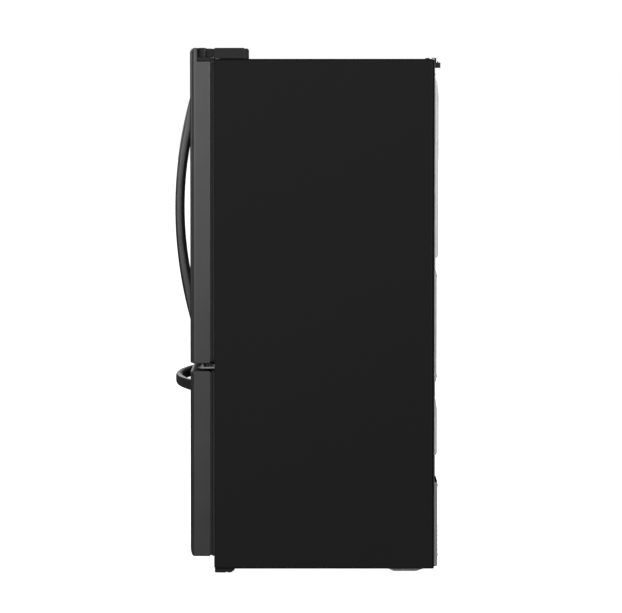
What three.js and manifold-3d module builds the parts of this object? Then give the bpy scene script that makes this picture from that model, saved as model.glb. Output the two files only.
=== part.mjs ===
// French door refrigerator with a bottom freezer drawer, as the pieces that it is assembled from.
// Millimetres, +Z up. The doors face -Y, the right-hand side is at +X, and the origin is on the
// floor under the middle of the whole object.
import * as THREE from "three";
import { mergeVertices } from "three/addons/utils/BufferGeometryUtils.js";
import Module from "manifold-3d";

const wasm = await Module();
wasm.setup();

// ---- Overall sizes ----
const WIDTH = 908; // over the cabinet sides
const CASE_HEIGHT = 1735; // floor to cabinet top
const CASE_DEPTH = 740; // cabinet without doors
const DOOR_DEPTH = 82; // door front to cabinet front, gasket included
const HANDLE_REACH = 62; // handle bows in front of the doors
const REAR_REACH = 20; // rear spacers behind the cabinet
const FLOOR_GAP = 15; // under the side panels

// ---- Sheet, liner and fits ----
const GAP = 0.3; // between pieces that touch
const RUNNING = 1; // between pieces that slide past each other
const SHEET = 1.2; // folded steel
const LINER = 2; // formed plastic liner
const REAR_FLANGE = 12;
const LINER_LIP = 6; // liner edge shown inside the steel face

// ---- Fronts ----
const DRAWER_BOTTOM = 57;
const DRAWER_HEIGHT = 626;
const HINGE_GAP = 28; // between drawer and doors
const DOOR_TOP_DROP = 7; // door body top below the cabinet top
const LIP_RISE = 37; // door lip above the cabinet top
const LIP_DEPTH = 23;
const CAP_HEIGHT = 11.5; // end cap on the door body
const EDGE_RADIUS = 17; // rounded outer edges of the fronts
const SMALL_RADIUS = 3;
const DOOR_SIDE_INSET = 1; // fronts inside the cabinet sides
const CENTRE_GAP = 6; // between the two doors
const GASKET_DEPTH = 16;
const GASKET_WIDTH = 20;
const GASKET_SIDE_INSET = 23; // gasket's outer edge inside the door's hinge edge
const GASKET_INNER_INSET = 3;
const GASKET_END_INSET = 8;
const GASKET_TOP_INSET = 14;

// ---- Insulated compartments ----
const FRIDGE_WALL = 50; // cabinet side to inside of the fridge liner
const FRIDGE_TOP_WALL = 57;
const FREEZER_WALL = 62;
const REAR_WALL = 60;
const OPENING_RISE = 33; // compartment edge above the bottom of the door
const FREEZER_RISE = 38;
const FREEZER_DROP = 33;
const MACHINE_DEPTH = 227; // machine space, from the cabinet rear
const MACHINE_HEIGHT = 275; // above the side panels' bottom
const MACHINE_SIDE = 14; // cheek beside the machine space
const STEP_WALL = 50; // insulation between machine space and freezer

// ---- Hinges ----
const HINGE_INSET = 22; // pin inside the cabinet side
const HINGE_SETBACK = 41; // pin behind the door front
const PIN_RADIUS = 6;
const PIN_FIT = 0.6;
const PIN_INSERT = 20;
const BOSS_RADIUS = 15;
const ARM_WIDTH = 18;
const ARM_OUTSET = 2; // arm's outer face beyond the pin

// ---- Handles ----
const HANDLE_END_INSET = 92; // handle end inside the door's top and bottom
const HANDLE_FROM_EDGE = 67; // handle centre from the door's free edge
const HANDLE_WIDTH = 28;
const HANDLE_THICKNESS = 25;
const HANDLE_PAD = 40;
const FREEZER_HANDLE_INSET = 74; // handle end inside the drawer's sides
const FREEZER_HANDLE_DROP = 51;
const FREEZER_HANDLE_HEIGHT = 38;

// ---- Door storage ----
const DIKE_INNER = 43; // door liner's ridge from the cabinet centre
const DIKE_FROM_PIN = 60;
const DIKE_DEPTH = 45;
const DIKE_WALL = 14;
const DIKE_END_INSET = 22;
const BIN_REACH = 104;
const BIN_HEIGHT = 112;
const BIN_WALL = 2.5;
const BIN_FIT = 2;
const BINS_PER_DOOR = 2;

// ---- Mullion flap ----
const FLAP_THICKNESS = 22;
const FLAP_WIDTH = 65;
const FLAP_PIVOT_X = -25;
const FLAP_END_GAP = 4;

// ---- Shelves, crispers and baskets ----
const SHELF_COUNT = 2;
const SHELF_THICKNESS = 14;
const SHELF_SETBACK = 158; // shelf front behind the cabinet front
const LEDGE_WIDTH = 10;
const LEDGE_HEIGHT = 12;
const CRISPER_HEIGHT = 180;
const CRISPER_SETBACK = 133;
const TRAY_WALL = 3;
const DUCT_HALF_WIDTH = 95;
const DUCT_DEPTH = 22;
const BASKET_WALL = 4;
const LOWER_BASKET_HEIGHT = 235;
const UPPER_BASKET_HEIGHT = 140;
const RAIL_HEIGHT = 40;
const RAIL_DEPTH = 15;
const INNER_RAIL_HEIGHT = 30;
const INNER_RAIL_DEPTH = 13;

// ---- Running gear and machine space ----
const LEG_RADIUS = 18;
const LEG_STEM_RADIUS = 5;
const LEG_FROM_SIDE = 42;
const LEG_SETBACK = 18; // leg centre behind the cabinet front
const FRONT_ROLLER_RADIUS = 15;
const FRONT_ROLLER_SETBACK = 53;
const REAR_ROLLER_RADIUS = 20;
const REAR_ROLLER_FROM_REAR = 97;
const ROLLER_WIDTH = 20;
const AXLE_RADIUS = 3.5;
const BASE_RAIL_DEPTH = 82;
const BASE_RAIL_HEIGHT = 26;
const SKID_INSET = 48;
const SKID_CLEARANCE = 1.5; // skid above the floor
const COMPRESSOR_RADIUS = 74;
const COMPRESSOR_HEIGHT = 165;
const CONDENSER_RUNS = 10;
const CONDENSER_PITCH = 22;

// ---- Rear relief, as heights behind the cabinet rear ----
const FIELD_RELIEF = 4;
const UPPER_RELIEF = 13;
const LOWER_RELIEF = 12;
const FOOT_RELIEF = 8;
const DUCT_COVER_RELIEF = 17;
const MACHINE_COVER_RELIEF = 12;

// ---- Planes that follow from the sizes ----
const HALF = WIDTH / 2;
const FRONTMOST = -(HANDLE_REACH + DOOR_DEPTH + CASE_DEPTH + REAR_REACH) / 2;
const DOOR_FRONT = FRONTMOST + HANDLE_REACH;
const CASE_FRONT = DOOR_FRONT + DOOR_DEPTH;
const CASE_REAR = CASE_FRONT + CASE_DEPTH;
const DOOR_BACK = CASE_FRONT - GASKET_DEPTH;
const DOOR_EDGE = HALF - DOOR_SIDE_INSET;
const DRAWER_TOP = DRAWER_BOTTOM + DRAWER_HEIGHT;
const DOOR_BOTTOM = DRAWER_TOP + HINGE_GAP;
const DOOR_BODY_TOP = CASE_HEIGHT - DOOR_TOP_DROP;
const LIP_TOP = CASE_HEIGHT + LIP_RISE;
const LIP_BACK = DOOR_FRONT + LIP_DEPTH;
const FRONT_FLANGE = FRIDGE_WALL - LINER_LIP; // steel face round the cabinet front
const FACE_INNER = HALF - FRONT_FLANGE;
const INSIDE = HALF - SHEET - GAP; // largest half width inside the wrapper
const FACE_BACK = CASE_FRONT + SHEET;
const FOAM_FRONT = FACE_BACK + GAP;
const FOAM_REAR = CASE_REAR - SHEET - GAP;
const FOAM_BOTTOM = FLOOR_GAP + SHEET + GAP;

const FRIDGE = {
  half: HALF - FRIDGE_WALL,
  bottom: DOOR_BOTTOM + OPENING_RISE,
  top: CASE_HEIGHT - FRIDGE_TOP_WALL,
  back: CASE_REAR - REAR_WALL,
};
const MACHINE_FRONT = CASE_REAR - MACHINE_DEPTH;
const MACHINE_TOP = FLOOR_GAP + MACHINE_HEIGHT;
const FREEZER = {
  half: HALF - FREEZER_WALL,
  bottom: DRAWER_BOTTOM + FREEZER_RISE,
  top: DRAWER_TOP - FREEZER_DROP,
  back: CASE_REAR - REAR_WALL,
  stepY: MACHINE_FRONT - STEP_WALL,
  stepZ: MACHINE_TOP + STEP_WALL,
};
const PIN_X = HALF - HINGE_INSET;
const PIN_Y = DOOR_FRONT + HINGE_SETBACK;

// ---- Shape helpers ----
const AXIS_X = new THREE.Vector3(1, 0, 0);
const AXIS_Y = new THREE.Vector3(0, 1, 0);
const AXIS_Z = new THREE.Vector3(0, 0, 1);

// A closed three.js geometry as a manifold solid.
function solid(geometry) {
  geometry.deleteAttribute("normal");
  geometry.deleteAttribute("uv");
  const merged = mergeVertices(geometry, 1e-4);
  return new wasm.Manifold(
    new wasm.Mesh({
      numProp: 3,
      vertProperties: merged.attributes.position.array,
      triVerts: new Uint32Array(merged.index.array),
    }),
  );
}

function block([x0, x1], [y0, y1], [z0, z1]) {
  const geometry = new THREE.BoxGeometry(x1 - x0, y1 - y0, z1 - z0);
  geometry.translate((x0 + x1) / 2, (y0 + y1) / 2, (z0 + z1) / 2);
  return solid(geometry);
}

// An outline extruded along an axis: (y, z) points along x, (x, z) along y, or (x, y) along z.
function prism(outline, axis, [from, to]) {
  const shape = new THREE.Shape(outline.map(([a, b]) => new THREE.Vector2(a, b)));
  const depth = to - from;
  const geometry = new THREE.ExtrudeGeometry(shape, { depth, bevelEnabled: false });
  const bases = {
    x: [AXIS_Y, AXIS_Z, AXIS_X],
    y: [AXIS_X, AXIS_Z, AXIS_Y.clone().negate()],
    z: [AXIS_X, AXIS_Y, AXIS_Z],
  };
  geometry.applyMatrix4(new THREE.Matrix4().makeBasis(...bases[axis]));
  const start = { x: [from, 0, 0], y: [0, to, 0], z: [0, 0, from] };
  geometry.translate(...start[axis]);
  return solid(geometry);
}

function arc(centreA, centreB, radius, fromDegrees, toDegrees, steps) {
  return Array.from({ length: steps + 1 }, (_, i) => {
    const angle = THREE.MathUtils.degToRad(
      fromDegrees + ((toDegrees - fromDegrees) * i) / steps,
    );
    return [centreA + radius * Math.cos(angle), centreB + radius * Math.sin(angle)];
  });
}

function rod(axis, [a, b], radius, span, sides = 20) {
  return prism(arc(a, b, radius, 0, 360 - 360 / sides, sides - 1), axis, span);
}

function joined(solids) {
  return solids.reduce((whole, piece) => whole.add(piece));
}

// A tray with an open top and walls of one thickness.
function tray([x0, x1], [y0, y1], [z0, z1], wall) {
  const inside = block([x0 + wall, x1 - wall], [y0 + wall, y1 - wall], [z0 + wall, z1 + 1]);
  return block([x0, x1], [y0, y1], [z0, z1]).subtract(inside);
}

// A flat ring in the XZ plane.
function frame([x0, x1], [z0, z1], [y0, y1], width) {
  const hole = block([x0 + width, x1 - width], [y0 - 1, y1 + 1], [z0 + width, z1 - width]);
  return block([x0, x1], [y0, y1], [z0, z1]).subtract(hole);
}

// ---- Cabinet shell ----
const RAIL_Z = [FREEZER.top + LINER_LIP, FRIDGE.bottom - LINER_LIP];
const BASE_PLATE_TOP = FREEZER.bottom - LINER_LIP;

// Sides and top folded from one steel sheet, with flanges and the rail between the compartments.
function outerWrapper() {
  const inner = HALF - SHEET;
  const under = FLOOR_GAP - 1;
  const outside = block([-HALF, HALF], [CASE_FRONT, CASE_REAR], [FLOOR_GAP, CASE_HEIGHT]);
  const hollow = block(
    [-inner, inner],
    [FACE_BACK, CASE_REAR - SHEET],
    [under, CASE_HEIGHT - SHEET],
  );
  const frontOpening = block(
    [-FACE_INNER, FACE_INNER],
    [CASE_FRONT - 1, FACE_BACK + 1],
    [under, CASE_HEIGHT - FRONT_FLANGE],
  );
  const rearHalf = HALF - REAR_FLANGE;
  const rearOpening = block(
    [-rearHalf, rearHalf],
    [CASE_REAR - SHEET - 1, CASE_REAR + 1],
    [under, CASE_HEIGHT - REAR_FLANGE],
  );
  const overlap = FACE_INNER + SHEET;
  const crossRail = block([-overlap, overlap], [CASE_FRONT, FACE_BACK], RAIL_Z);
  return outside.subtract(hollow).subtract(frontOpening).subtract(rearOpening).add(crossRail);
}

// One pressed plateau of the rear panel: a block with sloped ends.
function plateau(half, [z0, z1], height, shrink) {
  const slope = height * 2;
  const y = CASE_REAR + height - shrink;
  const root = CASE_REAR - REAR_FLANGE;
  const profile = [
    [root, z0 + shrink],
    [CASE_REAR, z0 + shrink],
    [y, z0 + slope + shrink],
    [y, z1 - slope - shrink],
    [CASE_REAR, z1 - shrink],
    [root, z1 - shrink],
  ];
  return prism(profile, "x", [-half + shrink, half - shrink]);
}

const PANEL_BOTTOM = MACHINE_TOP + 19;
const FIELD_BOTTOM = PANEL_BOTTOM + 12;
const FIELD_TOP = CASE_HEIGHT - 59;
const LOWER_FIELD_TOP = DRAWER_TOP - 67;
const UPPER_FIELD_BOTTOM = LOWER_FIELD_TOP + 435;

function relief(shrink) {
  const fieldHalf = HALF - 34;
  const plateauHalf = HALF - 110;
  return joined([
    plateau(fieldHalf, [FIELD_BOTTOM, FIELD_TOP], FIELD_RELIEF, shrink),
    plateau(plateauHalf, [UPPER_FIELD_BOTTOM, FIELD_TOP - 1], UPPER_RELIEF, shrink),
    plateau(plateauHalf, [FIELD_BOTTOM + 60, LOWER_FIELD_TOP], LOWER_RELIEF, shrink),
    plateau(plateauHalf - 60, [FIELD_BOTTOM + 1, FIELD_BOTTOM + 90], FOOT_RELIEF, shrink),
  ]);
}

function rearPanel() {
  const half = HALF - 9;
  const plate = block(
    [-half, half],
    [CASE_REAR + GAP, CASE_REAR + GAP + SHEET],
    [PANEL_BOTTOM, CASE_HEIGHT - REAR_FLANGE - GAP],
  );
  return plate.add(relief(0).intersect(behindCase())).subtract(relief(SHEET));
}

function behindCase() {
  return block([-HALF, HALF], [CASE_REAR + GAP, CASE_REAR + 50], [0, CASE_HEIGHT]);
}

// The fridge space, grown on every side but the front.
function fridgeSpace(grow) {
  const half = FRIDGE.half + grow;
  return block(
    [-half, half],
    [CASE_FRONT - 1, FRIDGE.back + grow],
    [FRIDGE.bottom - grow, FRIDGE.top + grow],
  );
}

// The freezer space, which steps over the machine space behind it.
function freezerSpace(grow) {
  const half = FREEZER.half + grow;
  const front = block(
    [-half, half],
    [CASE_FRONT - 1, FREEZER.stepY + grow],
    [FREEZER.bottom - grow, FREEZER.top + grow],
  );
  const rear = block(
    [-half, half],
    [CASE_FRONT - 1, FREEZER.back + grow],
    [FREEZER.stepZ - grow, FREEZER.top + grow],
  );
  return front.add(rear);
}

function foamInsulation() {
  const core = block(
    [-INSIDE, INSIDE],
    [FOAM_FRONT, FOAM_REAR],
    [FOAM_BOTTOM, CASE_HEIGHT - SHEET - GAP],
  );
  const cheek = HALF - MACHINE_SIDE;
  const machineSpace = block(
    [-cheek, cheek],
    [MACHINE_FRONT - SHEET - GAP, CASE_REAR + 1],
    [FLOOR_GAP - 1, MACHINE_TOP + SHEET + GAP],
  );
  const baseRailSpace = block(
    [-HALF, HALF],
    [CASE_FRONT - 1, CASE_FRONT + BASE_RAIL_DEPTH + GAP],
    [FLOOR_GAP - 1, FLOOR_GAP + BASE_RAIL_HEIGHT + 2 * GAP],
  );
  const insideRear = HALF - REAR_FLANGE - GAP;
  const rearRelief = relief(SHEET + GAP).intersect(
    block([-insideRear, insideRear], [FOAM_REAR - 1, CASE_REAR + 50], [0, CASE_HEIGHT]),
  );
  return core
    .add(rearRelief)
    .subtract(fridgeSpace(LINER + GAP))
    .subtract(freezerSpace(LINER + GAP))
    .subtract(machineSpace)
    .subtract(baseRailSpace);
}

// The flange that a liner shows round its opening, inside the steel face.
function linerFlange([z0, z1]) {
  const half = FACE_INNER - GAP;
  return block([-half, half], [CASE_FRONT, FACE_BACK], [z0 + GAP, z1 - GAP]);
}

// Ledges for shelves, moulded on both side walls.
function ledges(half, [y0, y1], tops) {
  return joined(
    tops.flatMap((top) =>
      [-1, 1].map((side) => {
        const wall = side * (half + LINER / 2);
        const edge = side * (half - LEDGE_WIDTH);
        return block(
          [Math.min(wall, edge), Math.max(wall, edge)],
          [y0, y1],
          [top - LEDGE_HEIGHT, top],
        );
      }),
    ),
  );
}

const CRISPER_BOTTOM = FRIDGE.bottom + RUNNING;
const CRISPER_TOP = CRISPER_BOTTOM + CRISPER_HEIGHT;
const COVER_Z = [CRISPER_TOP + 6, CRISPER_TOP + 6 + SHELF_THICKNESS];
const SHELF_PITCH = (FRIDGE.top - COVER_Z[1]) / (SHELF_COUNT + 1);
const SHELF_BOTTOMS = Array.from(
  { length: SHELF_COUNT },
  (_, i) => COVER_Z[1] + SHELF_PITCH * (i + 1) - SHELF_THICKNESS,
);
const SHELF_Y = [CASE_FRONT + SHELF_SETBACK, FRIDGE.back - DUCT_DEPTH - 5];

function fridgeLiner() {
  const supports = [COVER_Z[0], ...SHELF_BOTTOMS].map((z) => z - GAP);
  return fridgeSpace(LINER)
    .subtract(block([-HALF, HALF], [CASE_FRONT - 2, CASE_FRONT], [0, CASE_HEIGHT]))
    .add(linerFlange([RAIL_Z[1], CASE_HEIGHT - FRONT_FLANGE]))
    .subtract(fridgeSpace(0))
    .add(ledges(FRIDGE.half, [SHELF_Y[0] - 20, FRIDGE.back + 1], supports));
}

const LOWER_BASKET_BOTTOM = FREEZER.bottom + 5;
const LOWER_BASKET_TOP = LOWER_BASKET_BOTTOM + LOWER_BASKET_HEIGHT;
const UPPER_BASKET_TOP = FREEZER.top - 30;
const UPPER_BASKET_BOTTOM = UPPER_BASKET_TOP - UPPER_BASKET_HEIGHT;
const EVAPORATOR_COVER_Y = FREEZER.back - 88;
const BASKET_FRONT = CASE_FRONT + 20;

function freezerLiner() {
  return freezerSpace(LINER)
    .subtract(block([-HALF, HALF], [CASE_FRONT - 2, CASE_FRONT], [0, CASE_HEIGHT]))
    .add(linerFlange([BASE_PLATE_TOP, RAIL_Z[0]]))
    .subtract(freezerSpace(0))
    .add(
      ledges(
        FREEZER.half,
        [CASE_FRONT + 10, EVAPORATOR_COVER_Y - 10],
        [UPPER_BASKET_BOTTOM - RUNNING],
      ),
    );
}

// Galvanised sheet under the cabinet, up the front of the machine space and over it.
function bottomDeck() {
  const start = CASE_FRONT + BASE_RAIL_DEPTH + 2 * GAP;
  const profile = [
    [start, FLOOR_GAP],
    [MACHINE_FRONT, FLOOR_GAP],
    [MACHINE_FRONT, MACHINE_TOP],
    [FOAM_REAR, MACHINE_TOP],
    [FOAM_REAR, MACHINE_TOP + SHEET],
    [MACHINE_FRONT - SHEET, MACHINE_TOP + SHEET],
    [MACHINE_FRONT - SHEET, FLOOR_GAP + SHEET],
    [start, FLOOR_GAP + SHEET],
  ];
  const half = HALF - MACHINE_SIDE - GAP;
  return prism(profile, "x", [-half, half]);
}

// ---- Rear covers and spacers ----
function rearDuctCover() {
  const start = CASE_REAR + FIELD_RELIEF + GAP;
  const span = [LOWER_FIELD_TOP + 6, UPPER_FIELD_BOTTOM - 37];
  const form = (shrink, back) => {
    const crown = CASE_REAR + DUCT_COVER_RELIEF - shrink;
    const profile = [
      [back, span[0] + shrink],
      [crown - 5, span[0] + shrink],
      [crown, span[0] + 18 + shrink],
      [crown, span[1] - 18 - shrink],
      [crown - 5, span[1] - shrink],
      [back, span[1] - shrink],
    ];
    return prism(profile, "x", [-170 + shrink, 170 - shrink]);
  };
  return form(0, start).subtract(form(LINER, start - 1));
}

function machineCover() {
  const half = HALF - MACHINE_SIDE;
  const bottom = FLOOR_GAP + 6;
  const top = PANEL_BOTTOM - 1;
  const back = CASE_REAR + MACHINE_COVER_RELIEF;
  const form = (shrink, start) => {
    const radius = MACHINE_COVER_RELIEF - 2 - shrink;
    const profile = [
      [start, bottom + shrink],
      ...arc(back - shrink - radius, bottom + shrink + radius, radius, -90, 0, 4),
      [back - shrink, top - shrink],
      [start, top - shrink],
    ];
    return prism(profile, "x", [-half + shrink, half - shrink]);
  };
  const start = CASE_REAR + GAP;
  const gland = rod("y", [-HALF * 0.6, 200], 16, [back - SHEET, back + 6]);
  const glandHole = rod("y", [-HALF * 0.6, 200], 5, [back - 10, back + 10]);
  return form(0, start).subtract(form(SHEET, start - 1)).add(gland).subtract(glandHole);
}

function rearSpacer() {
  const inner = CASE_REAR + SHEET + 2 * GAP;
  const top = CASE_HEIGHT + GAP;
  const profile = [
    [CASE_REAR - 8, top],
    [inner, top],
    [inner, top - 31],
    [CASE_REAR + REAR_REACH, top - 31],
    [CASE_REAR + REAR_REACH, top - 7],
    [inner + 3, top + 4],
    [CASE_REAR - 8, top + 4],
  ];
  return prism(profile, "x", [HALF - 54, HALF - 24]);
}

// ---- Front base, feet and rollers ----
const LEG_X = HALF - LEG_FROM_SIDE;
const FRONT_ROLLER = {
  x: LEG_X,
  y: CASE_FRONT + FRONT_ROLLER_SETBACK,
  z: FRONT_ROLLER_RADIUS + 0.6,
  radius: FRONT_ROLLER_RADIUS,
};
const REAR_ROLLER = {
  x: HALF - SKID_INSET - 26,
  y: CASE_REAR - REAR_ROLLER_FROM_REAR,
  z: REAR_ROLLER_RADIUS,
  radius: REAR_ROLLER_RADIUS,
};

function roller({ x, y, z, radius }) {
  const span = [x - ROLLER_WIDTH / 2, x + ROLLER_WIDTH / 2];
  const bore = rod("x", [y, z], AXLE_RADIUS + PIN_FIT, [span[0] - 1, span[1] + 1], 12);
  return rod("x", [y, z], radius, span, 28).subtract(bore);
}

// Two cheeks between two heights, with an axle from one to the other.
function rollerMount({ x, y, z }, [foot, top]) {
  const inner = ROLLER_WIDTH / 2 + 2 * RUNNING;
  const reach = AXLE_RADIUS * 2;
  const cheeks = [-1, 1].map((side) => {
    const [a, b] = [x + side * inner, x + side * (inner + 2)];
    return block([Math.min(a, b), Math.max(a, b)], [y - reach, y + reach], [foot, top]);
  });
  return joined([...cheeks, rod("x", [y, z], AXLE_RADIUS, [x - inner - 1, x + inner + 1], 12)]);
}

function levelingLeg() {
  const y = CASE_FRONT + LEG_SETBACK;
  const pad = rod("z", [LEG_X, y], LEG_RADIUS, [0, FLOOR_GAP - 6], 24);
  const nut = rod("z", [LEG_X, y], LEG_STEM_RADIUS * 2, [FLOOR_GAP - 7, FLOOR_GAP - 1], 6);
  const stem = rod("z", [LEG_X, y], LEG_STEM_RADIUS, [FLOOR_GAP - 2, FLOOR_GAP + 20], 12);
  return joined([pad, nut, stem]);
}

// Inverted channel across the front, with its face plate and the front roller mounts.
function frontBaseRail() {
  const bottom = FOAM_BOTTOM;
  const top = FLOOR_GAP + BASE_RAIL_HEIGHT;
  const wall = 2;
  const rear = CASE_FRONT + BASE_RAIL_DEPTH;
  const channel = block([-INSIDE, INSIDE], [FOAM_FRONT, rear], [bottom, top]).subtract(
    block([-HALF, HALF], [FOAM_FRONT + wall, rear - wall], [bottom - 1, top - wall]),
  );
  const faceHalf = FACE_INNER - GAP;
  const face = block([-faceHalf, faceHalf], [CASE_FRONT, FACE_BACK], [bottom, BASE_PLATE_TOP]);
  const tie = block([-faceHalf, faceHalf], [CASE_FRONT, FOAM_FRONT + 1], [bottom, top]);
  const span = [FRONT_ROLLER.z - AXLE_RADIUS - 2, top - 1];
  const right = rollerMount(FRONT_ROLLER, span);
  const left = rollerMount({ ...FRONT_ROLLER, x: -FRONT_ROLLER.x }, span);
  return joined([channel, face, tie, right, left]);
}

function kickPlate() {
  const half = FACE_INNER + 28;
  const rear = CASE_FRONT - GAP;
  const [z0, z1] = [FLOOR_GAP + 2, DRAWER_BOTTOM - 4];
  const outside = block([-half, half], [rear - 3, rear], [z0, z1]);
  const inside = block([-half + 2, half - 2], [rear - 1.2, rear + 1], [z0 + 2, z1 - 2]);
  return outside.subtract(inside);
}

// Galvanised base of the machine space, pressed down into a skid that holds the rear rollers.
function compressorBase() {
  const thickness = 1.5;
  const [y0, y1, y2, y3, y4, y5] = [0, 60, 92, 168, 210, 220].map(
    (step) => MACHINE_FRONT + GAP + step,
  );
  const tub = (lift, rim, half) => {
    const profile = [
      [y1, rim],
      [y1, FLOOR_GAP + lift],
      [y2, SKID_CLEARANCE + lift],
      [y3, SKID_CLEARANCE + lift],
      [y4, FLOOR_GAP + lift],
      [y4, rim],
    ];
    return prism(profile, "x", [-half, half]);
  };
  const outer = HALF - MACHINE_SIDE - 2 * GAP;
  const skidHalf = HALF - SKID_INSET;
  const plate = block([-outer, outer], [y0, y5], [FLOOR_GAP, FLOOR_GAP + thickness]);
  const pressed = plate
    .add(tub(0, FLOOR_GAP + thickness / 2, skidHalf))
    .subtract(tub(thickness, FLOOR_GAP + thickness + 5, skidHalf - thickness));
  const places = [-1, 1].map((side) => ({ ...REAR_ROLLER, x: side * REAR_ROLLER.x }));
  const slots = places.map(({ x, y, radius }) =>
    block(
      [x - ROLLER_WIDTH / 2 - RUNNING, x + ROLLER_WIDTH / 2 + RUNNING],
      [y - radius - 2, y + radius + 2],
      [0, FLOOR_GAP],
    ),
  );
  const mountZ = [SKID_CLEARANCE + thickness / 2, REAR_ROLLER.z + 8];
  const mounts = places.map((place) => rollerMount(place, mountZ));
  return joined([pressed.subtract(joined(slots)), ...mounts]);
}

// ---- Machinery ----
function compressor() {
  const height = COMPRESSOR_HEIGHT;
  const r = COMPRESSOR_RADIUS;
  const profile = [
    [0, 0],
    [r * 0.86, 0],
    [r * 0.98, height * 0.16],
    [r, height * 0.4],
    [r * 1.04, height * 0.44],
    [r * 1.04, height * 0.48],
    [r, height * 0.52],
    [r * 0.97, height * 0.78],
    [r * 0.8, height * 0.93],
    [r * 0.45, height],
    [0, height],
  ].map(([a, b]) => new THREE.Vector2(a, b));
  const shell = new THREE.LatheGeometry(profile, 24);
  shell.rotateX(Math.PI / 2);
  shell.translate(COMPRESSOR_AT.x, COMPRESSOR_AT.y, COMPRESSOR_AT.z);
  const { x, y, z } = COMPRESSOR_AT;
  const feet = block([x - r - 18, x + r + 18], [y - 62, y + 62], [z - 12, z + 3]);
  const terminal = block([x + r * 0.9, x + r + 26], [y - 28, y + 28], [z + 50, z + 108]);
  return joined([solid(shell), feet, terminal]);
}

const COMPRESSOR_AT = {
  x: -HALF * 0.5,
  y: CASE_REAR - MACHINE_DEPTH / 2,
  z: FLOOR_GAP + 16,
};
const FAN_CENTRE = [CASE_REAR - MACHINE_DEPTH / 2, FLOOR_GAP + 100];
const FAN_RADIUS = 66;
const SHROUD_X = 60;

function condenserCoil() {
  const x0 = SHROUD_X + 45;
  const [y0, y1] = [FAN_CENTRE[0] - 82, FAN_CENTRE[0] + 82];
  const z = [FLOOR_GAP + 2, FLOOR_GAP + 185];
  const runs = Array.from({ length: CONDENSER_RUNS }, (_, i) => {
    const x = x0 + i * CONDENSER_PITCH;
    return block([x - 2.5, x + 2.5], [y0, y1], z);
  });
  const links = Array.from({ length: CONDENSER_RUNS - 1 }, (_, i) => {
    const x = x0 + i * CONDENSER_PITCH;
    const y = i % 2 ? [y0, y0 + 5] : [y1 - 5, y1];
    return block([x - 2.5, x + CONDENSER_PITCH + 2.5], y, z);
  });
  return joined([...runs, ...links]);
}

// Shroud plate with a round opening, and the motor held behind it on a bar.
function condenserFanBracket() {
  const [cy, cz] = FAN_CENTRE;
  const z = [FLOOR_GAP + 2, FLOOR_GAP + 190];
  const y = [cy - 86, cy + 86];
  const plate = block([SHROUD_X, SHROUD_X + 4], y, z);
  const hole = rod("x", [cy, cz], FAN_RADIUS + 5, [SHROUD_X - 1, SHROUD_X + 5], 28);
  const back = SHROUD_X - 34;
  const bar = block([back, back + 5], y, [cz - 7, cz + 7]);
  const posts = [y[0], y[1] - 4].map((p) =>
    block([back, SHROUD_X + 2], [p, p + 4], [cz - 7, cz + 7]),
  );
  const motor = rod("x", [cy, cz], 22, [back - 18, back + 16], 20);
  return joined([plate.subtract(hole), bar, ...posts, motor]);
}

// A fan wheel about +Z at the origin: a hub and pitched blades.
function fanWheel(hub, tip, width, blades) {
  const pieces = [rod("z", [0, 0], hub, [-width / 2, width / 2], 20)];
  for (let i = 0; i < blades; i += 1) {
    const reach = tip - hub + 4;
    const blade = new THREE.BoxGeometry(reach, width * 1.4, 2);
    blade.rotateX(THREE.MathUtils.degToRad(32));
    blade.translate(hub - 4 + reach / 2, 0, 0);
    blade.rotateZ((i * 2 * Math.PI) / blades);
    pieces.push(solid(blade));
  }
  return joined(pieces);
}

const EVAPORATOR_FAN_Z = FREEZER.top - 65;

function evaporator() {
  const y = [FREEZER.back - 60, FREEZER.back - 18];
  const z = [FREEZER.stepZ + 14, FREEZER.stepZ + 134];
  return block([-190, 190], y, z);
}

// Freezer rear panel with the fan opening and the fan motor held behind it.
function evaporatorCover() {
  const half = FREEZER.half - 3;
  const y = [EVAPORATOR_COVER_Y, EVAPORATOR_COVER_Y + 5];
  const panel = block([-half, half], y, [FREEZER.stepZ + RUNNING, FREEZER.top - RUNNING]);
  const hole = rod("y", [0, EVAPORATOR_FAN_Z], 53, [y[0] - 1, y[1] + 1], 28);
  const bar = block(
    [-66, 66],
    [y[1] + 38, y[1] + 42],
    [EVAPORATOR_FAN_Z - 6, EVAPORATOR_FAN_Z + 6],
  );
  const posts = [-66, 62].map((x) =>
    block([x, x + 4], [y[1] - 1, y[1] + 40], [EVAPORATOR_FAN_Z - 6, EVAPORATOR_FAN_Z + 6]),
  );
  const motor = rod("y", [0, EVAPORATOR_FAN_Z], 18, [y[1] + 28, y[1] + 52], 20);
  return joined([panel.subtract(hole), bar, ...posts, motor]);
}

// ---- Hinges ----
const ARM_X = [PIN_X + ARM_OUTSET - ARM_WIDTH, PIN_X + ARM_OUTSET];
const ARM_BOTTOM = DOOR_BODY_TOP + CAP_HEIGHT + 2.5;
const COVER_FRONT = CASE_FRONT - 1;
const COVER_BACK = CASE_FRONT + 92;
const COVER_X = [HALF - 70, HALF - 2];
const COVER_WALL = 2;

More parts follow.
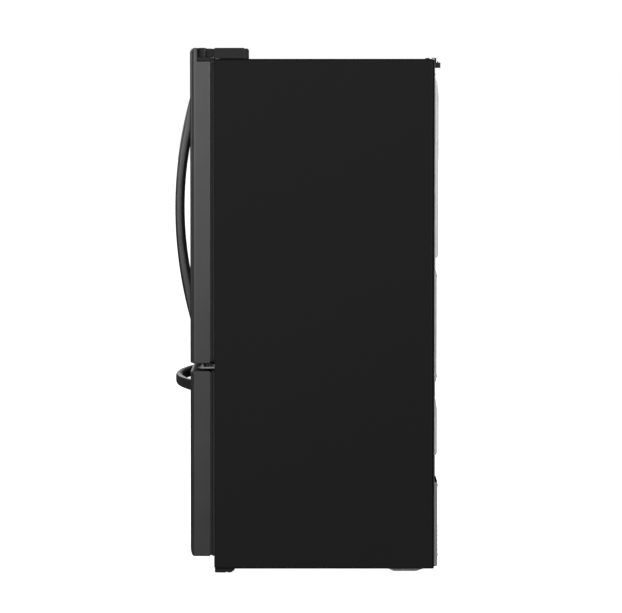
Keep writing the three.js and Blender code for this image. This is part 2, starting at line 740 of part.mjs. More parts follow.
function topHinge() {
  const arm = block(ARM_X, [PIN_Y, CASE_FRONT + 12], [ARM_BOTTOM, LIP_TOP - 3]);
  const boss = rod("z", [PIN_X, PIN_Y], BOSS_RADIUS, [ARM_BOTTOM, LIP_TOP], 28);
  const pinFoot = DOOR_BODY_TOP - PIN_INSERT + 6;
  const pin = rod("z", [PIN_X, PIN_Y], PIN_RADIUS, [pinFoot, ARM_BOTTOM + 1], 16);
  const seat = CASE_HEIGHT + GAP;
  const riser = block(ARM_X, [CASE_FRONT + 5, CASE_FRONT + 12], [seat, LIP_TOP - 3]);
  const plate = block(
    [COVER_X[0] + COVER_WALL + 4, COVER_X[1] - COVER_WALL - 2],
    [CASE_FRONT + 6, COVER_BACK - COVER_WALL - 6],
    [seat, seat + 4],
  );
  return joined([arm, boss, pin, riser, plate]);
}

// Moulded cover over the hinge plate, open below, with a slot for the arm and a low tail.
function hingeCover() {
  const seat = CASE_HEIGHT + GAP;
  const chamfer = 9;
  const form = (shrink, bottom) => {
    const [front, back, top] = [COVER_FRONT + shrink, COVER_BACK - shrink, LIP_TOP - shrink];
    const profile = [
      [front, bottom],
      [front, top],
      [back - chamfer, top],
      [back, top - chamfer],
      [back, bottom],
    ];
    return prism(profile, "x", [COVER_X[0] + shrink, COVER_X[1] - shrink]);
  };
  const slot = block(
    [ARM_X[0] - RUNNING, ARM_X[1] + RUNNING],
    [COVER_FRONT - 1, COVER_FRONT + COVER_WALL + 1],
    [seat - 1, LIP_TOP - 2],
  );
  const tail = block(
    [COVER_X[0] + 14, COVER_X[1] - 14],
    [COVER_BACK - 1, COVER_BACK + 12],
    [seat, LIP_TOP - 9],
  );
  return form(0, seat).subtract(form(COVER_WALL, seat - 1)).subtract(slot).add(tail);
}

function midHinge() {
  const top = DOOR_BOTTOM - 7;
  const plateOutline = [
    [ARM_X[0] - 4, CASE_FRONT - GAP],
    ...arc(PIN_X, PIN_Y, BOSS_RADIUS, 180, 360, 10),
    [PIN_X + BOSS_RADIUS, CASE_FRONT - GAP],
  ];
  const plate = prism(plateOutline, "z", [top - 6, top]);
  const flange = block(
    [FACE_INNER + 3, HALF - 4],
    [CASE_FRONT - GAP - 3, CASE_FRONT - GAP],
    [DRAWER_TOP + 3, DOOR_BOTTOM - RUNNING],
  );
  const pin = rod("z", [PIN_X, PIN_Y], PIN_RADIUS, [top - 1, top + PIN_INSERT], 16);
  const pad = rod("z", [PIN_X, PIN_Y], PIN_RADIUS + 5, [top - 1, DOOR_BOTTOM - RUNNING], 16);
  return joined([plate, flange, pin, pad]);
}

// ---- Doors and drawer front ----
const DOOR = {
  x: [CENTRE_GAP / 2, DOOR_EDGE],
  z: [DOOR_BOTTOM, DOOR_BODY_TOP],
  lip: true,
  topRadius: EDGE_RADIUS,
  bottomRadius: SMALL_RADIUS,
  innerRadius: SMALL_RADIUS * 2,
};
const DRAWER = {
  x: [-DOOR_EDGE, DOOR_EDGE],
  z: [DRAWER_BOTTOM, DRAWER_TOP],
  lip: false,
  topRadius: SMALL_RADIUS,
  bottomRadius: EDGE_RADIUS,
  innerRadius: EDGE_RADIUS,
};

// The body of a front, drawn in by `inset` on its finished faces and run past its ends by `past`.
function frontForm(spec, inset, past, back) {
  const face = DOOR_FRONT + inset;
  const [x0, x1] = [spec.x[0] + inset, spec.x[1] - inset];
  const bottom = spec.z[0] - past;
  const bodyTop = spec.z[1] + past;
  const top = spec.lip ? LIP_TOP - inset : bodyTop;
  const low = past ? 0 : Math.max(spec.bottomRadius - inset, 0);
  const high = past && !spec.lip ? 0 : Math.max(spec.topRadius - inset, 0);
  const rear = spec.lip
    ? [
        [LIP_BACK - inset, top],
        [LIP_BACK - inset, bodyTop],
        [back, bodyTop],
      ]
    : [[back, bodyTop]];
  const lowCorner = low
    ? arc(face + low, bottom + low, low, 270, 180, 4)
    : [[face, bottom]];
  const highCorner = high
    ? arc(face + high, top - high, high, 180, 90, 5)
    : [[face, top]];
  const profile = [[back, bottom], ...lowCorner, ...highCorner, ...rear];
  const outer = Math.max(EDGE_RADIUS - inset, 1);
  const inner = Math.max(spec.innerRadius - inset, 1);
  const plan = [
    [x1, back],
    [x0, back],
    ...arc(x0 + inner, face + inner, inner, 180, 270, 5),
    ...arc(x1 - outer, face + outer, outer, 270, 360, 5),
  ];
  const height = [spec.z[0] - past - 1, LIP_TOP + 1];
  return prism(profile, "x", [x0, x1]).intersect(prism(plan, "z", height));
}

function frontSkin(spec) {
  return frontForm(spec, 0, 0, DOOR_BACK).subtract(
    frontForm(spec, SHEET, 5, DOOR_BACK + 5),
  );
}

const DIKE_X = [DIKE_INNER, PIN_X - DIKE_FROM_PIN];
const DIKE_Z = [FRIDGE.bottom + DIKE_END_INSET, FRIDGE.top - DIKE_END_INSET];
const DIKE_BACK = DOOR_BACK + DIKE_DEPTH;

// Foam-filled inner door: the body behind the skin, the end cap, and the ridge that holds the bins.
function doorLiner() {
  const body = frontForm(DOOR, SHEET + GAP, 0, DOOR_BACK);
  const [x0, x1] = DOOR.x;
  const cap = block(
    [x0, x1],
    [LIP_BACK + GAP, DOOR_BACK],
    [DOOR_BODY_TOP + GAP, DOOR_BODY_TOP + CAP_HEIGHT],
  );
  const neck = block(
    [x0 + 3, x1 - 3],
    [LIP_BACK + GAP, DOOR_BACK],
    [DOOR_BODY_TOP - 2, DOOR_BODY_TOP + CAP_HEIGHT - 1],
  );
  const ridge = frame(DIKE_X, DIKE_Z, [DOOR_BACK - 1, DIKE_BACK], DIKE_WALL);
  const bore = PIN_RADIUS + PIN_FIT;
  const topBore = rod(
    "z",
    [PIN_X, PIN_Y],
    bore,
    [DOOR_BODY_TOP - PIN_INSERT, LIP_TOP],
    16,
  );
  const bottomBore = rod(
    "z",
    [PIN_X, PIN_Y],
    bore,
    [DOOR_BOTTOM - 1, DOOR_BOTTOM + PIN_INSERT],
    16,
  );
  return joined([body, cap, neck, ridge]).subtract(topBore).subtract(bottomBore);
}

function doorGasket() {
  const [x0, x1] = [DOOR.x[0] + GASKET_INNER_INSET, DOOR.x[1] - GASKET_SIDE_INSET];
  const z = [DOOR_BOTTOM + GASKET_END_INSET, DOOR_BODY_TOP - GASKET_TOP_INSET];
  return frame([x0, x1], z, [DOOR_BACK + GAP, CASE_FRONT - GAP], GASKET_WIDTH);
}

// Crescent bow between two ends: (across, along) points, bulging to -across by `reach`.
function bow([from, to], root, reach, thickness) {
  const middle = (from + to) / 2;
  const half = (to - from) / 2;
  const steps = 14;
  const curve = (halfChord, sagitta) => {
    const radius = (halfChord ** 2 + sagitta ** 2) / (2 * sagitta);
    const spread = THREE.MathUtils.radToDeg(Math.asin(halfChord / radius));
    return arc(root - sagitta + radius, middle, radius, 180 + spread, 180 - spread, steps);
  };
  return [...curve(half, reach), ...curve(half - HANDLE_PAD, reach - thickness).reverse()];
}

function doorHandle() {
  const centre = DOOR.x[0] + HANDLE_FROM_EDGE;
  const ends = [DOOR_BOTTOM + HANDLE_END_INSET, DOOR_BODY_TOP - HANDLE_END_INSET];
  const outline = bow(ends, DOOR_FRONT - GAP, HANDLE_REACH - GAP, HANDLE_THICKNESS);
  return prism(outline, "x", [centre - HANDLE_WIDTH / 2, centre + HANDLE_WIDTH / 2]);
}

function freezerHandle() {
  const half = HALF - FREEZER_HANDLE_INSET;
  const centre = DRAWER_TOP - FREEZER_HANDLE_DROP;
  const outline = bow([-half, half], DOOR_FRONT - GAP, HANDLE_REACH - GAP, HANDLE_THICKNESS);
  const turned = outline.map(([y, x]) => [x, y]);
  const span = [centre - FREEZER_HANDLE_HEIGHT / 2, centre + FREEZER_HANDLE_HEIGHT / 2];
  return prism(turned, "z", span);
}

// Door bins share the height inside the ridge.
const BIN_PITCH = (DIKE_Z[1] - DIKE_Z[0] - 2 * DIKE_WALL) / BINS_PER_DOOR;

function doorBin(index) {
  const inset = DIKE_WALL + BIN_FIT;
  const x = [DIKE_X[0] + inset, DIKE_X[1] - inset];
  const bottom = DIKE_Z[0] + DIKE_WALL + BIN_FIT + index * BIN_PITCH;
  const y = [DOOR_BACK + RUNNING, DOOR_BACK + RUNNING + BIN_REACH];
  return tray(x, y, [bottom, bottom + BIN_HEIGHT], BIN_WALL);
}

function drawerLiner() {
  const body = frontForm(DRAWER, SHEET + GAP, 0, DOOR_BACK);
  const half = FREEZER.half - 50;
  const panel = block(
    [-half, half],
    [DOOR_BACK - 1, DOOR_BACK + 12],
    [FREEZER.bottom + 20, FREEZER.top - 20],
  );
  return body.add(panel);
}

function drawerGasket() {
  const half = DOOR_EDGE - GASKET_SIDE_INSET;
  const z = [DRAWER_BOTTOM + GASKET_END_INSET, DRAWER_TOP - GASKET_END_INSET];
  return frame([-half, half], z, [DOOR_BACK + GAP, CASE_FRONT - GAP], GASKET_WIDTH);
}

// ---- Mullion flap, folded back beside the left door's ridge ----
const FLAP_RADIUS = FLAP_THICKNESS / 2;
const FLAP_PIVOT_Y = CASE_FRONT + FLAP_RADIUS + 0.5;

function mullionFlap() {
  const far = FLAP_PIVOT_Y + FLAP_WIDTH - FLAP_RADIUS;
  const outline = [
    [FLAP_PIVOT_X + FLAP_RADIUS, far],
    [FLAP_PIVOT_X - FLAP_RADIUS, far],
    ...arc(FLAP_PIVOT_X, FLAP_PIVOT_Y, FLAP_RADIUS, 180, 360, 12),
  ];
  return prism(outline, "z", [FRIDGE.bottom + FLAP_END_GAP, FRIDGE.top - FLAP_END_GAP]);
}

// ---- Fridge interior ----
function shelf(bottom) {
  const half = FRIDGE.half - 3;
  return block([-half, half], SHELF_Y, [bottom, bottom + SHELF_THICKNESS]);
}

// Glass cover over the crispers, with the rail that parts them.
function crisperCover() {
  const half = FRIDGE.half - 3;
  const y = [CASE_FRONT + CRISPER_SETBACK - 4, FRIDGE.back - 2];
  const plate = block([-half, half], y, COVER_Z);
  const rail = block([-4, 4], [y[0] + 10, y[1]], [CRISPER_BOTTOM, COVER_Z[0] + 1]);
  return plate.add(rail);
}

const CRISPER_X = [4 + 2 * RUNNING, FRIDGE.half - LEDGE_WIDTH - 2];

function crisper() {
  const y = [CASE_FRONT + CRISPER_SETBACK, FRIDGE.back - 25];
  return tray(CRISPER_X, y, [CRISPER_BOTTOM, CRISPER_TOP], TRAY_WALL);
}

function airDuct() {
  const back = FRIDGE.back - GAP;
  const front = FRIDGE.back - DUCT_DEPTH;
  const outline = [
    [-DUCT_HALF_WIDTH, back],
    [-DUCT_HALF_WIDTH + 14, front],
    [DUCT_HALF_WIDTH - 14, front],
    [DUCT_HALF_WIDTH, back],
  ];
  return prism(outline, "z", [COVER_Z[1] + 20, FRIDGE.top - 80]);
}

// ---- Freezer interior ----
const RAIL_TOP = LOWER_BASKET_TOP - 6;
const RAIL_X = [FREEZER.half - RAIL_DEPTH, FREEZER.half - GAP];
const INNER_RAIL_X = [RAIL_X[0] - RUNNING - INNER_RAIL_DEPTH, RAIL_X[0] - RUNNING];
const RAIL_BACK = FREEZER.stepY - 12;

// Fixed rail: a channel open towards the drawer.
function drawerRail() {
  const z = [RAIL_TOP - RAIL_HEIGHT, RAIL_TOP];
  const y = [CASE_FRONT + 6, RAIL_BACK];
  const outside = block(RAIL_X, y, z);
  const groove = block([RAIL_X[0] - 1, RAIL_X[1] - 3], [y[0] - 1, y[1] + 1], [z[0] + 3, z[1] - 3]);
  return outside.subtract(groove);
}

// Both drawer slides with the brace that ties them and the brackets that carry the front.
function drawerFrame() {
  const middle = RAIL_TOP - RAIL_HEIGHT / 2;
  const z = [middle - INNER_RAIL_HEIGHT / 2, middle + INNER_RAIL_HEIGHT / 2];
  const front = DOOR_BACK + GAP;
  const slides = [-1, 1].flatMap((side) => {
    const at = (a, b) => [Math.min(side * a, side * b), Math.max(side * a, side * b)];
    return [
      block(at(INNER_RAIL_X[0], INNER_RAIL_X[1]), [front, RAIL_BACK - 8], z),
      block(at(INNER_RAIL_X[0], INNER_RAIL_X[1]), [front, front + 4], [z[0] - 50, z[1] + 60]),
    ];
  });
  const half = INNER_RAIL_X[1];
  const brace = block([-half, half], [RAIL_BACK - 16, RAIL_BACK - 8], z);
  return joined([...slides, brace]);
}

function freezerBasket() {
  const half = INNER_RAIL_X[0] - RUNNING;
  const z = [LOWER_BASKET_BOTTOM, LOWER_BASKET_TOP];
  return tray([-half, half], [BASKET_FRONT, RAIL_BACK - 18], z, BASKET_WALL);
}

function upperBasket() {
  const half = FREEZER.half - 6;
  const z = [UPPER_BASKET_BOTTOM, UPPER_BASKET_TOP];
  return tray([-half, half], [BASKET_FRONT, EVAPORATOR_COVER_Y - 20], z, BASKET_WALL);
}

// ---- Materials ----
function finish(color, roughness, metalness, more = {}) {
  return new THREE.MeshStandardMaterial({ color, roughness, metalness, ...more });
}

const blackPaint = finish(0x202124, 0.45, 0.2);
const blackSteel = finish(0x55565a, 0.32, 0.85);
const handleSteel = finish(0x6a6b6f, 0.3, 0.9);
const galvanised = finish(0xa9acad, 0.45, 0.8);
const zincSteel = finish(0x8f9294, 0.35, 0.9);
const darkPlastic = finish(0x2a2b2d, 0.6, 0);
const whitePlastic = finish(0xe9ebec, 0.3, 0);
const clearPlastic = finish(0xdfe9ee, 0.08, 0, { transparent: true, opacity: 0.4 });
const shelfGlass = finish(0xd5e6e4, 0.05, 0, { transparent: true, opacity: 0.5 });
const foam = finish(0xe6d9ae, 0.95, 0);
const rubber = finish(0x3b3c3e, 0.75, 0);
const nylon = finish(0x1c1c1d, 0.7, 0);
const coatedWire = finish(0xd9dcde, 0.35, 0.3);
const enamel = finish(0x141415, 0.35, 0.3);
const aluminium = finish(0xb9bdc0, 0.4, 0.9);

// ---- Assembly ----
const refrigerator = new THREE.Group();

function piece(name, shape, material, parent = refrigerator) {
  const { vertProperties, triVerts } = shape.getMesh();
  const geometry = new THREE.BufferGeometry();
  geometry.setAttribute("position", new THREE.BufferAttribute(vertProperties, 3));
  geometry.setIndex(new THREE.BufferAttribute(triVerts, 1));
  geometry.computeVertexNormals();
  const mesh = new THREE.Mesh(geometry, material);
  mesh.name = name;
  parent.add(mesh);
  return mesh;
}

// The same piece on both sides, the left one mirrored.
function pair(name, shape, material) {
  piece(`right_${name}`, shape, material);
  piece(`left_${name}`, shape, material).scale.x = -1;
}

piece("outer_wrapper", outerWrapper(), blackPaint);
piece("rear_panel", rearPanel(), galvanised);
piece("foam_insulation", foamInsulation(), foam);
piece("fridge_liner", fridgeLiner(), whitePlastic);
piece("freezer_liner", freezerLiner(), whitePlastic);
piece("bottom_deck", bottomDeck(), galvanised);
piece("rear_duct_cover", rearDuctCover(), galvanised);
piece("machine_cover", machineCover(), galvanised);
pair("rear_spacer", rearSpacer(), darkPlastic);

piece("front_base_rail", frontBaseRail(), zincSteel);
piece("kick_plate", kickPlate(), darkPlastic);
piece("compressor_base", compressorBase(), galvanised);
pair("leveling_leg", levelingLeg(), zincSteel);
pair("front_roller", roller(FRONT_ROLLER), nylon);
pair("rear_roller", roller(REAR_ROLLER), nylon);

piece("compressor", compressor(), enamel);
piece("condenser_coil", condenserCoil(), enamel);
piece("condenser_fan_bracket", condenserFanBracket(), darkPlastic);
const condenserFan = piece("condenser_fan", fanWheel(18, FAN_RADIUS, 22, 5), darkPlastic);
condenserFan.position.set(SHROUD_X - 4, ...FAN_CENTRE);
condenserFan.rotation.y = Math.PI / 2;

piece("evaporator", evaporator(), aluminium);
piece("evaporator_cover", evaporatorCover(), whitePlastic);
const evaporatorFan = piece("evaporator_fan", fanWheel(14, 48, 18, 5), darkPlastic);
evaporatorFan.position.set(0, EVAPORATOR_COVER_Y + 20, EVAPORATOR_FAN_Z);
evaporatorFan.rotation.x = Math.PI / 2;

pair("top_hinge", topHinge(), zincSteel);
pair("hinge_cover", hingeCover(), darkPlastic);
pair("mid_hinge", midHinge(), zincSteel);

pair("door_skin", frontSkin(DOOR), blackSteel);
pair("door_liner", doorLiner(), whitePlastic);
pair("door_gasket", doorGasket(), rubber);
pair("door_handle", doorHandle(), handleSteel);
pair("lower_bin", doorBin(0), clearPlastic);
pair("upper_bin", doorBin(1), clearPlastic);
piece("mullion_flap", mullionFlap(), darkPlastic);

piece("drawer_skin", frontSkin(DRAWER), blackSteel);
piece("drawer_liner", drawerLiner(), whitePlastic);
piece("drawer_gasket", drawerGasket(), rubber);
piece("freezer_handle", freezerHandle(), handleSteel);
piece("drawer_frame", drawerFrame(), zincSteel);
piece("freezer_basket", freezerBasket(), coatedWire);
piece("upper_basket", upperBasket(), coatedWire);
pair("drawer_rail", drawerRail(), zincSteel);

piece("lower_shelf", shelf(SHELF_BOTTOMS[0]), shelfGlass);
piece("upper_shelf", shelf(SHELF_BOTTOMS[1]), shelfGlass);
piece("crisper_cover", crisperCover(), shelfGlass);
pair("crisper", crisper(), clearPlastic);
piece("air_duct", airDuct(), whitePlastic);

export default refrigerator;
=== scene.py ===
import math

import bpy
import numpy as np
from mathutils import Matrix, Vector


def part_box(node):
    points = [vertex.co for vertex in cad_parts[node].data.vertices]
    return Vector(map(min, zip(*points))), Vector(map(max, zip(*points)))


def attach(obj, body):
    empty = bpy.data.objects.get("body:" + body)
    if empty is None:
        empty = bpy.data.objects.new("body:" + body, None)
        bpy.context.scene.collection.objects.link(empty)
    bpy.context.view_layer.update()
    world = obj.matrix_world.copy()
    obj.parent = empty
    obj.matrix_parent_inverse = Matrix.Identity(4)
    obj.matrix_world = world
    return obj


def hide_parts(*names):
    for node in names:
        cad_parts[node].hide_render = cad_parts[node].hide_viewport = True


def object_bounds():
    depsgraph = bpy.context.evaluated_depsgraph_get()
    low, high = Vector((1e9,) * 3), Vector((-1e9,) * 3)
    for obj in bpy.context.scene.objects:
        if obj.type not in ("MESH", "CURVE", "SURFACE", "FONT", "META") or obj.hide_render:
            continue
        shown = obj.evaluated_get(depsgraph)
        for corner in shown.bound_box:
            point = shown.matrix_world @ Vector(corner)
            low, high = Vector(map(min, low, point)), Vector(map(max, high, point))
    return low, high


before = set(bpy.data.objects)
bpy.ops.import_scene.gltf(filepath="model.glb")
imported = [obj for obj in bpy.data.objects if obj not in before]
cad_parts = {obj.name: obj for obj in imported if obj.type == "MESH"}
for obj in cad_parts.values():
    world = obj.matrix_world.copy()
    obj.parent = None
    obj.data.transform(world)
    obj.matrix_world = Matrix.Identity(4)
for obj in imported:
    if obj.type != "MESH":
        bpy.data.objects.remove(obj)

cad_low, cad_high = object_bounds()

# ---- Camera ----
# A long lens far to the right of the refrigerator, a little above its top and square to its side,
# tipped down so that the middle of the picture meets the near side at the aim height.
CAMERA_BACK = 14.5
CAMERA_HEIGHT = 1.73
AIM_HEIGHT = 0.9023
AIM_ALONG = 0.0168
VIEW_WIDTH = 2.0912
FILM_WIDTH = 36.0

bpy.context.scene.view_settings.view_transform = "Standard"
lens = bpy.data.cameras.new("side_camera")
lens.sensor_width = FILM_WIDTH
lens.lens = FILM_WIDTH * CAMERA_BACK / VIEW_WIDTH
lens.clip_end = 200.0
camera = bpy.data.objects.new("side_camera", lens)
bpy.context.scene.collection.objects.link(camera)
camera.location = (cad_high.x + CAMERA_BACK, AIM_ALONG, CAMERA_HEIGHT)
tilt = math.atan2(CAMERA_HEIGHT - AIM_HEIGHT, CAMERA_BACK)
camera.rotation_euler = (math.pi / 2 - tilt, 0, math.pi / 2)
bpy.context.scene.camera = camera


# ---- Studio ----
# A pale floor and an even white room seen behind it. Four big soft lamps hang round the
# refrigerator, and the room itself adds only a dim light that falls off towards the floor.
class Shade:
    """A socket of a shader tree. Sums and products of values add Math nodes, and
    node() adds any other node: its settings come first, then its input values or links."""

    def __init__(self, tree, socket):
        self.tree = tree
        self.socket = socket

    def node(self, kind, settings=None, inputs=None, out=0):
        made = self.tree.nodes.new(f"ShaderNode{kind}")
        for name, value in (settings or {}).items():
            if name == "stops":
                ramp = made.color_ramp.elements
                while len(ramp) < len(value):
                    ramp.new(1.0)
                for stop, (place, colour) in zip(ramp, value):
                    stop.position = place
                    stop.color = colour
            else:
                setattr(made, name, value)
        for name, value in (inputs or {}).items():
            if isinstance(value, Shade):
                self.tree.links.new(value.socket, made.inputs[name])
            else:
                made.inputs[name].default_value = value
        return Shade(self.tree, made.outputs[out] if len(made.outputs) else None)

    def math(self, operation, first, second=0.0, clamp=False):
        settings = {"operation": operation, "use_clamp": clamp}
        return self.node("Math", settings, {0: first, 1: second})

    def __add__(self, other):
        return self.math("ADD", self, other)

    __radd__ = __add__

    def __mul__(self, other):
        return self.math("MULTIPLY", self, other)

    def __gt__(self, other):
        return self.math("GREATER_THAN", self, other)

    def __lt__(self, other):
        return self.math("LESS_THAN", self, other)

    def __abs__(self):
        return self.math("ABSOLUTE", self)


def grey(level, warmth=0.0):
    """An opaque colour of that linear level, with red raised and blue lowered by its warmth."""
    return (level * (1 + warmth), level, level * (1 - warmth), 1.0)


def blend(mask, first, second):
    """The first colour where the mask is 0 and the second where it is 1."""
    return mask.node("Mix", {"data_type": "RGBA"}, {0: mask, 6: first, 7: second}, 2)


room = bpy.data.worlds.new("studio_room")
bpy.context.scene.world = room
room.use_nodes = True
room.node_tree.nodes.clear()
ray = Shade(room.node_tree, None).node("LightPath")
skyward = ray.node("SeparateXYZ", None, {0: ray.node("TexCoord", None, None, "Generated")}, "Z")
dome = ray.node(
    "ValToRGB",
    {
        "stops": [
            (0.0, grey(0.4)), (0.28, grey(0.16)), (0.45, grey(0.03)), (0.54, grey(0.03)),
            (0.64, grey(0.34)), (1.0, grey(0.5)),
        ],
    },
    {0: skyward * 0.5 + 0.5},
)
seen = blend(ray, dome, grey(1.0))
shown = ray.node("Background", None, {"Color": seen, "Strength": 1.0})
ray.node("OutputWorld", None, {"Surface": shown})

floor_mesh = bpy.data.meshes.new("studio_floor")
FLOOR_HALF, FLOOR_DROP = 60.0, 0.0005
floor_corners = FLOOR_HALF * np.array([[-1, -1, 0], [1, -1, 0], [1, 1, 0], [-1, 1, 0]])
floor_mesh.from_pydata(floor_corners.tolist(), [], [[0, 1, 2, 3]])
floor = bpy.data.objects.new("studio_floor", floor_mesh)
bpy.context.scene.collection.objects.link(floor)
floor.location.z = -FLOOR_DROP
floor.visible_glossy = False
floor.visible_diffuse = False
paper = bpy.data.materials.new("pale_floor_paper")
paper.use_nodes = True
paper.node_tree.nodes.clear()
weave = Shade(paper.node_tree, None).node("TexCoord", None, None, "Object")
fleck = weave.node("TexNoise", None, {"Vector": weave, "Scale": 3.0, "Detail": 3.0})
matt = fleck.node("BsdfDiffuse", None, {"Color": blend(fleck, grey(0.8), grey(0.84))})
glow = fleck.node("Emission", None, {"Color": grey(1.0), "Strength": 0.93})
both = fleck.node("AddShader", None, {0: matt, 1: glow})
fleck.node("OutputMaterial", None, {"Surface": both})
floor_mesh.materials.append(paper)


def softbox(name, place, size, power, aim=(0.0, 0.0, 0.9)):
    """A rectangular area lamp that hangs at a place and faces the aim."""
    lamp = bpy.data.lights.new(name, "AREA")
    lamp.shape = "RECTANGLE"
    lamp.size, lamp.size_y = size
    lamp.energy = power
    hung = bpy.data.objects.new(name, lamp)
    bpy.context.scene.collection.objects.link(hung)
    hung.location = place
    hung.rotation_euler = (Vector(aim) - Vector(place)).to_track_quat("-Z", "Y").to_euler()


softbox("right_softbox", (9.3, -2.4, 3.2), (4.8, 5.0), 118.0, (0.4, 0.0, 1.0))
softbox("left_softbox", (-8.5, -3.0, 5.0), (5.0, 4.0), 150.0, (-0.4, 0.0, 1.0))
softbox("front_softbox", (0.0, -8.0, 3.8), (6.0, 4.0), 125.0)
softbox("rear_softbox", (2.5, 7.5, 3.6), (5.0, 4.0), 340.0)


# ---- Cabinet shell ----
# The sides and top are one sheet of steel, folded at the corners and turned in at the front
# and rear, then powder coated in a fine black texture. A painted rail ties the two sides.
MM = 0.001
SHEET = 1.2
# Where x, y and z lie in (across, up, level). An outline that faces x holds (y, z), one that
# faces y holds (x, z), and one that faces z holds (x, y).
ORDER = {"x": (2, 0, 1), "y": (0, 2, 1), "z": (0, 1, 2)}


def skinned(rings, hoop=False):
    """A surface over a stack of equal closed rings: points j and j+1 of one ring and of the
    next make a face. A hoop joins its last ring to its first, and other stacks get end faces."""
    rings = np.asarray(rings, float)
    rows, count = rings.shape[:2]
    row, point = np.meshgrid(np.arange(rows if hoop else rows - 1), np.arange(count), indexing="ij")
    after, beside = (row + 1) % rows, (point + 1) % count
    quads = np.stack(
        [row * count + point, row * count + beside, after * count + beside, after * count + point],
        -1,
    ).reshape(-1, 4)
    ends = [] if hoop else [np.arange(count)[::-1], np.arange(count) + (rows - 1) * count]
    return rings.reshape(-1, 3), quads, ends


def outline(corners, radii, inset=0.0, steps=4):
    """A closed outline in a plane with an arc at each corner. A corner moves in along its
    bisector by inset / sin(half its angle). The arc's centre is radius / sin(half angle)
    along the bisector, and its spokes turn evenly from one side to the other."""
    corner = np.asarray(corners, float)
    back = np.roll(corner, 1, 0) - corner
    ahead = np.roll(corner, -1, 0) - corner
    back /= np.linalg.norm(back, axis=1)[:, None]
    ahead /= np.linalg.norm(ahead, axis=1)[:, None]
    middle = back + ahead
    middle /= np.linalg.norm(middle, axis=1)[:, None]
    half = np.arccos(np.clip((back * ahead).sum(1), -1, 1))[:, None] / 2
    bulge = np.sign(back[:, 1] * ahead[:, 0] - back[:, 0] * ahead[:, 1])[:, None]
    bulge *= np.sign((corner[:, 0] * np.roll(corner[:, 1], -1)).sum()
                     - (corner[:, 1] * np.roll(corner[:, 0], -1)).sum())
    radius = np.maximum(np.asarray(radii, float).reshape(-1, 1) - bulge * inset, 0.12)
    corner = corner + middle * bulge * inset / np.sin(half)
    centre = corner + middle * radius / np.sin(half)
    start = corner + back * radius / np.tan(half) - centre
    end = corner + ahead * radius / np.tan(half) - centre
    share = np.linspace(0, 1, steps + 1)[None, :, None]
    whole = (np.pi - 2 * half)[:, :, None]
    spoke = np.sin((1 - share) * whole) * start[:, None] + np.sin(share * whole) * end[:, None]
    return (centre[:, None] + spoke / np.sin(whole)).reshape(-1, 2)


def standing(flat, level, axis):
    """Points of a plane outline set at a level of an axis."""
    return np.column_stack([flat, np.full(len(flat), level)])[:, ORDER[axis]]


def stacked(corners, radii, profile, axis="z", hoop=False, steps=4):
    """The outline drawn in by each inset of a profile and set at the level beside it, then
    skinned from one to the next. A profile that comes back to its start makes a hoop."""
    radii = [radii] * len(corners) if np.isscalar(radii) else radii
    rings = [
        standing(outline(corners, radii, inset, steps), level, axis) for inset, level in profile
    ]
    return skinned(np.array(rings), hoop)


def oblong(a, b):
    """Corners of the rectangle between two spans."""
    return [(a[0], b[0]), (a[1], b[0]), (a[1], b[1]), (a[0], b[1])]


def eased(low, high, radius, steps=3):
    """Profile of a block with quarter-round edges between two levels: at an angle t the inset
    is radius * (1 - sin t), and the level lies radius * (1 - cos t) inside the end."""
    turn = np.linspace(0, np.pi / 2, steps + 1)
    inset, rise = radius * (1 - np.sin(turn)), radius * (1 - np.cos(turn))
    return [*zip(inset, low + rise), *zip(inset[::-1], (high - rise)[::-1])]


def bar(x, y, z, ease=1.0, corner=None, axis="x"):
    """A block between three spans, with its edges eased and the corners round its axis cut
    to a radius."""
    spans = {"x": (y, z, x), "y": (x, z, y), "z": (x, y, z)}[axis]
    corner = ease if corner is None else corner
    return stacked(oblong(spans[0], spans[1]), corner, eased(*spans[2], ease), axis)


def volume(part):
    """Six times the enclosed volume: over the faces, the first corner . (second x third +
    third x fourth), and the same fan over each end face."""
    points, quads, ends = part
    a, b, c, d = (points[quads[:, k]] for k in range(4))
    total = (a * (np.cross(b, c) + np.cross(c, d))).sum()
    for end in ends:
        rim = points[end]
        total += (rim[0] * np.cross(rim[1:-1], rim[2:])).sum()
    return total


def piece(name, parts, finish, body, stands_for=(), crease=35.0, slot=None):
    """One object at the origin, made of closed surfaces in millimetres whose faces are turned
    outwards. It rides on a body and is smooth except across edges over the crease angle."""
    points, faces, count = [], [], 0
    for part in parts if isinstance(parts, list) else [parts]:
        turn = 1 if volume(part) > 0 else -1
        points.append(part[0] * MM)
        faces += (part[1][:, ::turn] + count).tolist()
        faces += [(end[::turn] + count).tolist() for end in part[2]]
        count += len(part[0])
    mesh = bpy.data.meshes.new(name)
    mesh.from_pydata(np.concatenate(points).tolist(), [], faces)
    mesh.shade_smooth()
    mesh.set_sharp_from_angle(angle=math.radians(crease))
    mesh.materials.append(finish)
    made = bpy.data.objects.new(name, mesh)
    bpy.context.scene.collection.objects.link(made)
    even = made.modifiers.new("even_shading", "WEIGHTED_NORMAL")
    even.keep_sharp = True
    even.weight = 80
    slot = slot or slot_of[finish.name]
    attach(made, body)
    if stands_for:
        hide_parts(*stands_for)
    return made


def mirrored(part):
    """The same surface on the other side of the middle."""
    return part[0] * (-1, 1, 1), part[1], part[2]


def both_sides(name, parts, finish, body, stands_for=(), slot=None):
    """A right-hand piece and its left-hand copy. SIDE in a name becomes right or left."""
    parts = parts if isinstance(parts, list) else [parts]
    for side, shape in (("right", parts), ("left", [mirrored(part) for part in parts])):
        nodes = [node.replace("SIDE", side) for node in stands_for]
        where = body.replace("SIDE", side)
        piece(name.replace("SIDE", side), shape, finish, where, nodes, slot=slot)


